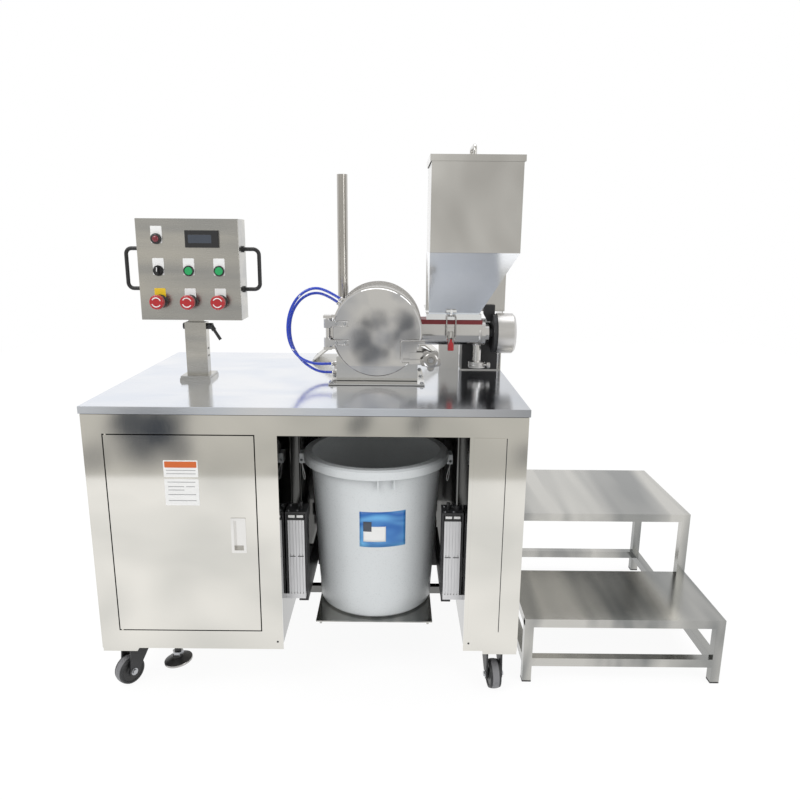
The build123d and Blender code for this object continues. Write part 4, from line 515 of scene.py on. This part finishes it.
for index, name in enumerate(("left", "middle", "right")):
    centre = on_table(COLUMNS[index], PANEL_Y - 39.7, STOP_Z)
    for arc in range(2):
        points = []
        for step in range(9):
            turn = math.pi * arc + math.radians(20 + 16 * step)
            points.append(centre + Vector((math.cos(turn) * 0.0125, 0, math.sin(turn) * 0.0125)))
        wire(f"stop_ring_{name}_{arc}", points, 1.5, f"stop_{name}", white_plastic)
    lathe(f"stop_collar_{name}", ((15.6, 0), (19.0, 0.5), (19.0, 6.0), (16.2, 9.0), (15.8, 17.0)),
          on_table(COLUMNS[index], PANEL_Y - 0.8, STOP_Z), FRONT, "panel", black_plastic)

# Door: blank plates, and the pull's bright frame with a painted shadow, a black strip at the left of its
# recess
plate("door_plate_white", -311, -0.1, 594, 86, 70, "cabinet_door", white_plastic, 0.5)
plate("door_plate_top", -311, -0.1, 656, 86, 44, "cabinet_door", white_plastic, 0.5)
plate("door_plate_orange", -311, -0.7, 667, 80, 16, "cabinet_door", orange_film, 0.4)

for index, (x, z, width) in enumerate(((-311, 652, 74), (-311, 643, 74), (-311, 621, 70), (-325, 609, 40),
                                       (-325, 600, 40), (-289, 609, 22), (-311, 588, 70), (-311, 572, 70))):
    plate(f"door_plate_line_{index}", x, -0.7, z, width, 1.6, "cabinet_door", grey_film,
          0.2, 0.4)
plate("pull_shadow", -112.2, 13.2, 478.5, 7, 74, "cabinet_door", black_plastic, 0.4, 0.5)

# Mill door: the bright folds of the lock's bracket and of the hinge straps, and the knob's dished face
LOCK_X, LOCK_Z = 150.0, -71.0
bracket = ((134, -20), (71, -20), (66, -25), (66, -75), (71, -80), (91, -80))
wire("bracket_fold", [on_table(MILL_X + x, MILL_DOOR_Y - 18.6, MILL_Z + z) for x, z in bracket], 1.3,
     "mill_door", cast_steel, smooth_line=False)
for index, strap_z in enumerate((25.0, -27.0)):
    strap = [(x, strap_z + side * 7.2) for side, xs in ((1, (-124, -80)), (-1, (-80, -124))) for x in xs]
    wire(f"strap_fold_{index}", [on_table(MILL_X + x, MILL_DOOR_Y - 5.4, MILL_Z + z) for x, z in strap], 1.3,
         "mill_door", cast_steel, smooth_line=False)
knob_face = on_table(MILL_X + LOCK_X, MILL_DOOR_Y - 36, MILL_Z + LOCK_Z)
lathe("knob_rim", ((9.2, -2.6), (9.2, 0.6), (10.4, 2.0), (13.5, 2.2), (18.5, 0.9), (20, 0), (20, -0.3)),
      knob_face, FRONT, "star_knob", cast_steel)
# Painted shadows: thin black cords along the saddle's foot, along the base plate's front edge and under the
# tabletop's lip, where shade falls
wire("saddle_painted_shadow", [on_table(MILL_X + x, 308.4, 5.6) for x in (-115, 115)], 0.9, "base",
     black_plastic, smooth_line=False)
wire("base_painted_shadow", [on_table(MILL_X + x, 265.6, 0.7) for x in (-134, 134)], 0.7, "base",
     black_plastic, smooth_line=False)
wire("lip_painted_shadow", [place(x, -0.5, 795.0) for x in (-548, 548)], 0.9, "base",
     black_plastic, smooth_line=False)
screws("knob_bolt", [knob_face + Vector((0, 0.0026, 0))], FRONT, "star_knob", radius=5.2, height=3.6)

# Feeder: the drain's clamp, and the seam of the bearing at the trough's end
FEED_Y, FEED_Z, DRAIN_X, TROUGH_END_X = 450.0, 126.0, 468.0, 477.0
lathe("drain_clamp", ((12.6, -0.1), (24, -0.1), (25.7, 1.6), (25.7, 6.6), (23.9, 8.2), (23.9, 9.8),
                      (25.7, 11.4), (25.7, 16.4), (24, 18.1), (12.6, 18.1)),
      on_table(DRAIN_X, FEED_Y, 22), (0, 0, 1), "base", drum_steel)
wing = bmesh.new()
add_prism(wing, rounded(16, 21, 5), on_table(DRAIN_X + 29, FEED_Y - 12, 31), (1, 0, 0), 10)
finish_piece(mesh_from(wing, "drain_wing"), "drain_wing", "base", drum_steel, bevel=2.0)
lathe("bearing_ring", ((34, 0), (37.2, 0.8), (38, 2), (38, 9), (36.6, 10.6), (30, 11)),
      on_table(TROUGH_END_X - 9, FEED_Y, FEED_Z), (1, 0, 0), "base", drum_steel)

# Right cabinet: the dark gap beside its service panel
plate("service_gap", 498.4, -0.1, 475.5, 2.0, 531, "base", black_plastic, 0.4, 0.5)

# Screws
screws("saddle_screws", [on_table(MILL_X + sx * 127, y, 5) for sx in (-1, 1) for y in (276, 384, 492)],
       (0, 0, 1), "base", radius=4.5, height=5)
screws("strap_screws", [on_table(MILL_X + x, MILL_DOOR_Y - 6, MILL_Z + z)
                        for x in (-112, -88) for z in (25, -27)], FRONT, "mill_door", radius=3.2, height=2.2)
screws("stand_screws", [on_table(MILL_X + sx * 216, y, 4) for sx in (-1, 1) for y in (640, 760)], (0, 0, 1),
       "base", radius=5, height=5)
screws("housing_screws", [on_table(MILL_X, 512, MILL_Z) + Vector((math.cos(a), 0, math.sin(a))) * 0.060
                          for a in [math.pi / 3 * i for i in range(6)]], (0, 1, 0), "base",
       radius=4, height=4)
screws("skirt_screws", [place(-84, 0, 176), place(421, 0, 176)], FRONT, "base", look=black_plastic,
       radius=2.6, height=0.8, sides=20, washer=1.1)
screws("drive_screws", [on_table(577, 450, 126) + Vector((0, math.cos(a), math.sin(a))) * 0.030
                        for a in [math.pi / 2 * i for i in range(4)]], (1, 0, 0), "feed_screw",
       radius=3, height=2)

# Latch's red grip
grip = bmesh.new()
add_prism(grip, rounded(19, 13, 5), on_table(LATCH_X, 398.5, 80), (0, 0, 1), 34)
finish_piece(mesh_from(grip, "latch_grip"), "latch_grip", "latch_lever", red_plastic,
             bevel=2.5)

# Bucket: a generic label in blue and white, and wire loops at its ears
label_graph = Graph("label_film").set(Roughness=0.35)
sky = label_graph.noise(9.0, (1, 1, 2.2), detail=1.0, distortion=0.6)
label_graph.link(label_graph.ramp(sky, (0.02, 0.13, 0.42), (0.14, 0.42, 0.72), 0.38, 0.62),
                 label_graph.shader.inputs["Base Color"])
label_film = label_graph.material


def on_bucket(x, z, proud=0.6):
    """A point on the bucket's wall at an x and a height above the platform."""
    radius = 160 + 23 * (z - 6) / 406 + proud
    return place(x, BUCKET_Y - math.sqrt(radius ** 2 - (x - MILL_X) ** 2), PLATFORM_Z + z)


def label(name, x0, x1, z0, z1, look, proud):
    """A film that follows the bucket's wall."""
    builder = bmesh.new()
    columns, rows = 16, 6
    grid = [[builder.verts.new(on_bucket(x0 + (x1 - x0) * i / columns, z0 + (z1 - z0) * j / rows, proud))
             for i in range(columns + 1)] for j in range(rows + 1)]
    for j in range(rows):
        for i in range(columns):
            builder.faces.new((grid[j][i], grid[j][i + 1], grid[j + 1][i + 1], grid[j + 1][i]))
    piece = finish_piece(mesh_from(builder, name), name, "bucket", look)
    thick = piece.modifiers.new("thick", "SOLIDIFY")
    thick.thickness = 0.0003
    return piece


label("bucket_label", 130, 252, 216, 318, label_film, 0.4)
label("bucket_label_block", 140, 200, 232, 276, white_plastic, 0.8)
label("bucket_label_corner", 140, 162, 262, 290, lcd_glass, 1.2)
for side in (-1, 1):
    ear_x = MILL_X + side * 207.5
    loop = [place(ear_x + side * 2, BUCKET_Y - 18, 600), place(ear_x - side * 3, BUCKET_Y - 26, 588),
            place(ear_x - side * 9, BUCKET_Y - 28, 566), place(ear_x - side * 6, BUCKET_Y - 22, 548),
            place(ear_x - side * 1, BUCKET_Y - 16, 562), place(ear_x + side * 1, BUCKET_Y - 12, 588),
            place(ear_x + side * 2, BUCKET_Y - 12, 600)]
    wire(f"ear_wire_{side + 1}", loop, 1.0, "bucket", white_plastic)

# Lift: the cylinders' end blocks with white windows, mark lines and air fittings
for side in (-1, 1):
    middle = MILL_X + side * (238 - 30)
    plate(f"cylinder_end_{side + 1}", middle, 75, 498.2, 44, 16.4, "base", black_plastic,
          thick=1.2, radius=0.8)
    for off in (-11, 11):
        x = middle + off
        plate(f"cylinder_window_{side + 1}_{off + 11}", x, 73.8, 501, 17, 7, "base", white_plastic,
              thick=0.5, radius=0.8)
        plate(f"cylinder_mark_{side + 1}_{off + 11}", x, 75, 386, 16, 2.4, "base", black_plastic,
              thick=0.5, radius=0.8)
        if side * off < 0:
            lathe(f"air_fitting_{side + 1}_{off + 11}",
                  ((5.5, 0), (5.5, 6), (3.6, 7), (3.6, 14), (5, 15), (5, 19), (0, 19.5)),
                  place(x, 102, 513), (0, 0, 1), "lift", black_plastic, sides=24)
    screws(f"cap_screws_{side + 1}", [place(middle + off, y, 513) for off in (-20, 3) for y in (84, 122)],
           (0, 0, 1), "lift", radius=3, height=3)

# Steps: black caps on the legs
for index, y in enumerate((90.0, 384.0, 783.0)):
    for column, x in enumerate((587.0, 1118.0)):
        cap = bmesh.new()
        add_prism(cap, rounded(26.4, 26.4, 2.5), place(x + 12.5, y + 12.5, 0.2), (0, 0, 1), 4)
        finish_piece(mesh_from(cap, f"leg_cap_{index}_{column}"), f"leg_cap_{index}_{column}", "steps",
                     black_plastic, bevel=0.6)

# Casters and feet: grey tread bands, hub discs, axle nuts, and the pads' steel rings
WHEEL_R = 40.0
WHEEL_W = 30.0
TRAIL = 30.0
FOOT_R = 38.0
FOOT_Z = 72.0
CASTERS = {"front_left": (-498.0, 100.0, -35.0), "front_right": (498.0, 100.0, 6.0),
           "rear_left": (-498.0, 718.0, 150.0), "rear_right": (498.0, 718.0, 195.0)}
FEET = {"front_left": (-374.0, 70.0, -8.0), "front_right": (478.0, 208.0, 0.0),
        "rear_left": (-374.0, 748.0, 0.0), "rear_right": (478.0, 610.0, 0.0)}


def banded_tyre(corner, hub, axle):
    """Black rubber with a grey band round the middle of the tread, told by the distance along the axle."""
    graph = Graph(f"tyre_{corner}").set(Roughness=0.5)
    along = graph.tree.nodes.new("ShaderNodeVectorMath")
    along.operation = "DOT_PRODUCT"
    along.inputs[1].default_value = axle
    graph.link(graph.coords, along.inputs[0])
    out = graph.tree.nodes.new("ShaderNodeMath")
    out.operation = "SUBTRACT"
    out.inputs[1].default_value = hub.dot(axle)
    graph.link(along.outputs["Value"], out.inputs[0])
    size = graph.tree.nodes.new("ShaderNodeMath")
    size.operation = "ABSOLUTE"
    graph.link(out.outputs[0], size.inputs[0])
    graph.link(graph.ramp(graph.level(size.outputs[0], 0, 1, 0.0, 0.02), (0.20, 0.20, 0.21),
                          (0.022, 0.023, 0.025), 0.42, 0.48), graph.shader.inputs["Base Color"])
    return graph.material


for corner, (x, y, yaw) in CASTERS.items():
    turn = math.radians(yaw)
    axle = Vector((math.cos(turn), math.sin(turn), 0))
    hub = place(x + TRAIL * math.sin(turn), y - TRAIL * math.cos(turn), WHEEL_R)
    wheel = nodes[f"caster_wheel_{corner}"]
    turned = wheel.matrix_world.inverted()
    wheel.data.materials[0] = banded_tyre(corner, turned @ hub, turned.to_3x3() @ axle)
    for side in (-1, 1):
        screws(f"axle_nut_{corner}_{side + 1}", [hub + axle * side * (WHEEL_W / 2 + 7.5) / 1000],
               tuple(axle * side), f"fork_{corner}", radius=7.5, height=5.0)
        lathe(f"hub_disc_{corner}_{side + 1}", ((14.6, 0), (15, 0.5), (31, 0.5), (31.6, 0), (31.6, -0.6)),
              hub + axle * side * (WHEEL_W / 2 - 2.9) / 1000, tuple(axle * side), f"wheel_{corner}",
              black_plastic, sides=48)
for corner, (x, y, tilt) in FEET.items():
    lean = Vector((math.sin(math.radians(tilt)), 0, math.cos(math.radians(tilt))))
    lathe(f"foot_ring_{corner}", ((FOOT_R - 6, -0.2), (FOOT_R, -0.2), (FOOT_R + 0.6, 1), (FOOT_R + 0.6, 4.5),
                                  (FOOT_R - 0.4, 6.2)), place(x, y, FOOT_Z), tuple(lean), f"foot_{corner}",
          cast_steel)
    lathe(f"foot_nut_{corner}", ((9.2, 0), (15, 0.5), (15, 8.5), (9.2, 9)), place(x, y, FOOT_Z + 23),
          (0, 0, 1), f"foot_{corner}", zinc, sides=6)

# Stage: white floor, white backdrop with soft grey patches behind the camera, and soft lamps
def ray_is(tree, *kinds):
    """One where the ray is of one of these kinds."""
    paths = tree.nodes.new("ShaderNodeLightPath")
    total = paths.outputs[f"Is {kinds[0]} Ray"]
    for kind in kinds[1:]:
        summed = tree.nodes.new("ShaderNodeMath")
        summed.operation = "ADD"
        summed.use_clamp = True
        tree.links.new(total, summed.inputs[0])
        tree.links.new(paths.outputs[f"Is {kind} Ray"], summed.inputs[1])
        total = summed.outputs[0]
    return total


scene = bpy.context.scene
floor_mesh = bmesh.new()
bmesh.ops.create_grid(floor_mesh, x_segments=1, y_segments=1, size=4.2)
floor = bpy.data.objects.new("floor", mesh_from(floor_mesh, "floor"))
scene.collection.objects.link(floor)
floor.location = (0, 2.0, -0.0005)
floor_graph = Graph("floor_white").set(Base_Color=(0.93, 0.93, 0.93, 1), Roughness=0.9)
floor_tree = floor_graph.tree
floor_glow = floor_tree.nodes.new("ShaderNodeEmission")
floor_glow.inputs["Strength"].default_value = 1.04
floor_mix = floor_tree.nodes.new("ShaderNodeMixShader")
floor_seen = floor_tree.nodes.new("ShaderNodeMath")
floor_seen.operation = "MULTIPLY"
floor_seen.inputs[1].default_value = 0.88
floor_tree.links.new(ray_is(floor_tree, "Camera", "Glossy", "Transmission"), floor_seen.inputs[0])
floor_tree.links.new(floor_seen.outputs["Value"], floor_mix.inputs["Fac"])
floor_tree.links.new(floor_graph.shader.outputs["BSDF"], floor_mix.inputs[1])
floor_tree.links.new(floor_glow.outputs["Emission"], floor_mix.inputs[2])
floor_tree.links.new(floor_mix.outputs["Shader"], floor_tree.nodes["Material Output"].inputs["Surface"])
floor.data.materials.append(floor_graph.material)

world = bpy.data.worlds.new("studio")
scene.world = world
world.use_nodes = True
sky_tree = world.node_tree
direction = sky_tree.nodes.new("ShaderNodeTexCoord").outputs["Generated"]
split = sky_tree.nodes.new("ShaderNodeSeparateXYZ")
sky_tree.links.new(direction, split.inputs["Vector"])
behind = sky_tree.nodes.new("ShaderNodeMapRange")
behind.inputs["From Min"].default_value = 0.25
behind.inputs["From Max"].default_value = -0.35
sky_tree.links.new(split.outputs["Y"], behind.inputs["Value"])

# Dark things in the room behind the camera: x, y and z where the machine mirrors each, its radius there,
# and how dark it is
ROOM_SPOTS = (
    (-430, 0, 765, 55, 0.95), (-350, 0, 760, 60, 1.0), (-400, 0, 720, 60, 0.85), (-315, 0, 722, 45, 0.7),
    (-540, 0, 690, 45, 0.45), (138, 0, 770, 22, 0.75), (285, 0, 770, 30, 0.7), (540, 0, 700, 38, 0.55),
    (-70, 0, 640, 30, 0.2), (138, 285, 990, 26, 0.75), (128, 285, 945, 24, 0.75), (150, 285, 915, 26, 0.7),
    (190, 285, 915, 22, 0.65), (212, 285, 950, 22, 0.7), (168, 285, 1002, 22, 0.55), (240, 285, 985, 30, 0.8),
    (262, 285, 940, 24, 0.7), (-420, 315, 1128, 30, 0.35), (-350, 315, 1132, 30, 0.45),
    (-280, 315, 1128, 30, 0.4), (-220, 315, 1122, 24, 0.35),
)


def sky_math(operation, first, second, clamp=False):
    """One step of arithmetic in the world's nodes."""
    node = sky_tree.nodes.new("ShaderNodeMath")
    node.operation = operation
    node.use_clamp = clamp
    for socket, value in zip(node.inputs, (first, second)):
        if isinstance(value, (int, float)):
            socket.default_value = value
        else:
            sky_tree.links.new(value, socket)
    return node.outputs[0]


def room_spot(x, y, z, radius, darkness):
    """The share of dark that one thing in the room adds, with a soft edge."""
    ray = place(x, y, z) - place(*EYE)
    mirrored = Vector((ray.x, -ray.y, ray.z)).normalized()
    spread = radius / 1000 / ray.length
    near = sky_tree.nodes.new("ShaderNodeVectorMath")
    near.operation = "DISTANCE"
    near.inputs[1].default_value = mirrored
    sky_tree.links.new(ragged, near.inputs[0])
    edge = sky_tree.nodes.new("ShaderNodeMapRange")
    edge.interpolation_type = "SMOOTHSTEP"
    edge.inputs["From Min"].default_value = spread * 1.5
    edge.inputs["From Max"].default_value = spread * 0.5
    edge.inputs["To Max"].default_value = darkness
    sky_tree.links.new(near.outputs["Value"], edge.inputs["Value"])
    return edge.outputs["Result"]


unit = sky_tree.nodes.new("ShaderNodeVectorMath")
unit.operation = "NORMALIZE"
sky_tree.links.new(direction, unit.inputs[0])
wobble = sky_tree.nodes.new("ShaderNodeTexNoise")
wobble.inputs["Scale"].default_value = 14.0
wobble.inputs["Detail"].default_value = 2.0
sky_tree.links.new(unit.outputs["Vector"], wobble.inputs["Vector"])
shift = sky_tree.nodes.new("ShaderNodeVectorMath")
shift.operation = "MULTIPLY_ADD"
shift.inputs[1].default_value = (0.05, 0.05, 0.05)
shift.inputs[2].default_value = (-0.025, -0.025, -0.025)
sky_tree.links.new(wobble.outputs["Color"], shift.inputs[0])
moved = sky_tree.nodes.new("ShaderNodeVectorMath")
sky_tree.links.new(unit.outputs["Vector"], moved.inputs[0])
sky_tree.links.new(shift.outputs["Vector"], moved.inputs[1])
ragged = moved.outputs["Vector"]
dark_share = room_spot(*ROOM_SPOTS[0])
for spot in ROOM_SPOTS[1:]:
    dark_share = sky_math("MAXIMUM", dark_share, room_spot(*spot))


def sky_mix(factor, first, second):
    """Mixes two colours of the world, each a socket or a plain colour."""
    node = sky_tree.nodes.new("ShaderNodeMix")
    node.data_type = "RGBA"
    sky_tree.links.new(factor, node.inputs[0])
    for socket, value in ((node.inputs[6], first), (node.inputs[7], second)):
        if isinstance(value, tuple):
            socket.default_value = value
        else:
            sky_tree.links.new(value, socket)
    return node.outputs[2]


WHITE = (1, 1, 1, 1)
ROOM_LIGHT = (0.80, 0.80, 0.80, 1)
ROOM = (0.66, 0.65, 0.62, 1)
ROOM_DARK = (0.030, 0.040, 0.060, 1)
backdrop = sky_mix(behind.outputs["Result"], WHITE, sky_mix(dark_share, ROOM, ROOM_DARK))
seen = sky_mix(ray_is(sky_tree, "Camera"), backdrop, WHITE)
shown = sky_mix(ray_is(sky_tree, "Camera", "Glossy", "Transmission"), ROOM_LIGHT, seen)
sky_tree.links.new(shown, sky_tree.nodes["Background"].inputs["Color"])

LAMPS = (
    ("key", (-1.9, -2.2, 3.0), (0.0, 0.0, 0.7), (1.8, 1.4), 38),
    ("fill", (2.3, -2.4, 1.8), (0.1, 0.0, 0.6), (1.4, 1.8), 18),
    ("top", (0.0, 0.4, 3.4), (0.0, 0.0, 0.8), (2.6, 1.6), 24),
)
for name, where, target, size, power in LAMPS:
    lamp_data = bpy.data.lights.new(name, "AREA")
    lamp_data.shape = "RECTANGLE"
    lamp_data.size, lamp_data.size_y = size
    lamp_data.energy = power
    lamp = bpy.data.objects.new(name, lamp_data)
    lamp.location = where
    lamp.rotation_euler = (Vector(target) - Vector(where)).to_track_quat("-Z", "Y").to_euler()
    scene.collection.objects.link(lamp)

# Camera
forward = Vector((math.sin(YAW) * math.cos(PITCH), math.cos(YAW) * math.cos(PITCH), -math.sin(PITCH)))
level = Vector((math.cos(YAW), -math.sin(YAW), 0))
upward = level.cross(forward)
right = math.cos(ROLL) * level + math.sin(ROLL) * upward
upward = math.cos(ROLL) * upward - math.sin(ROLL) * level
camera_data = bpy.data.cameras.new("camera")
camera_data.lens = LENS_MM
camera_data.sensor_width = 36
camera_data.shift_x, camera_data.shift_y = SHIFT
camera = bpy.data.objects.new("camera", camera_data)
scene.collection.objects.link(camera)
turned_to = Matrix((right, upward, -forward)).transposed().to_4x4()
camera.matrix_world = Matrix.Translation(place(*EYE)) @ turned_to
scene.camera = camera

scene.view_settings.view_transform = "Standard"
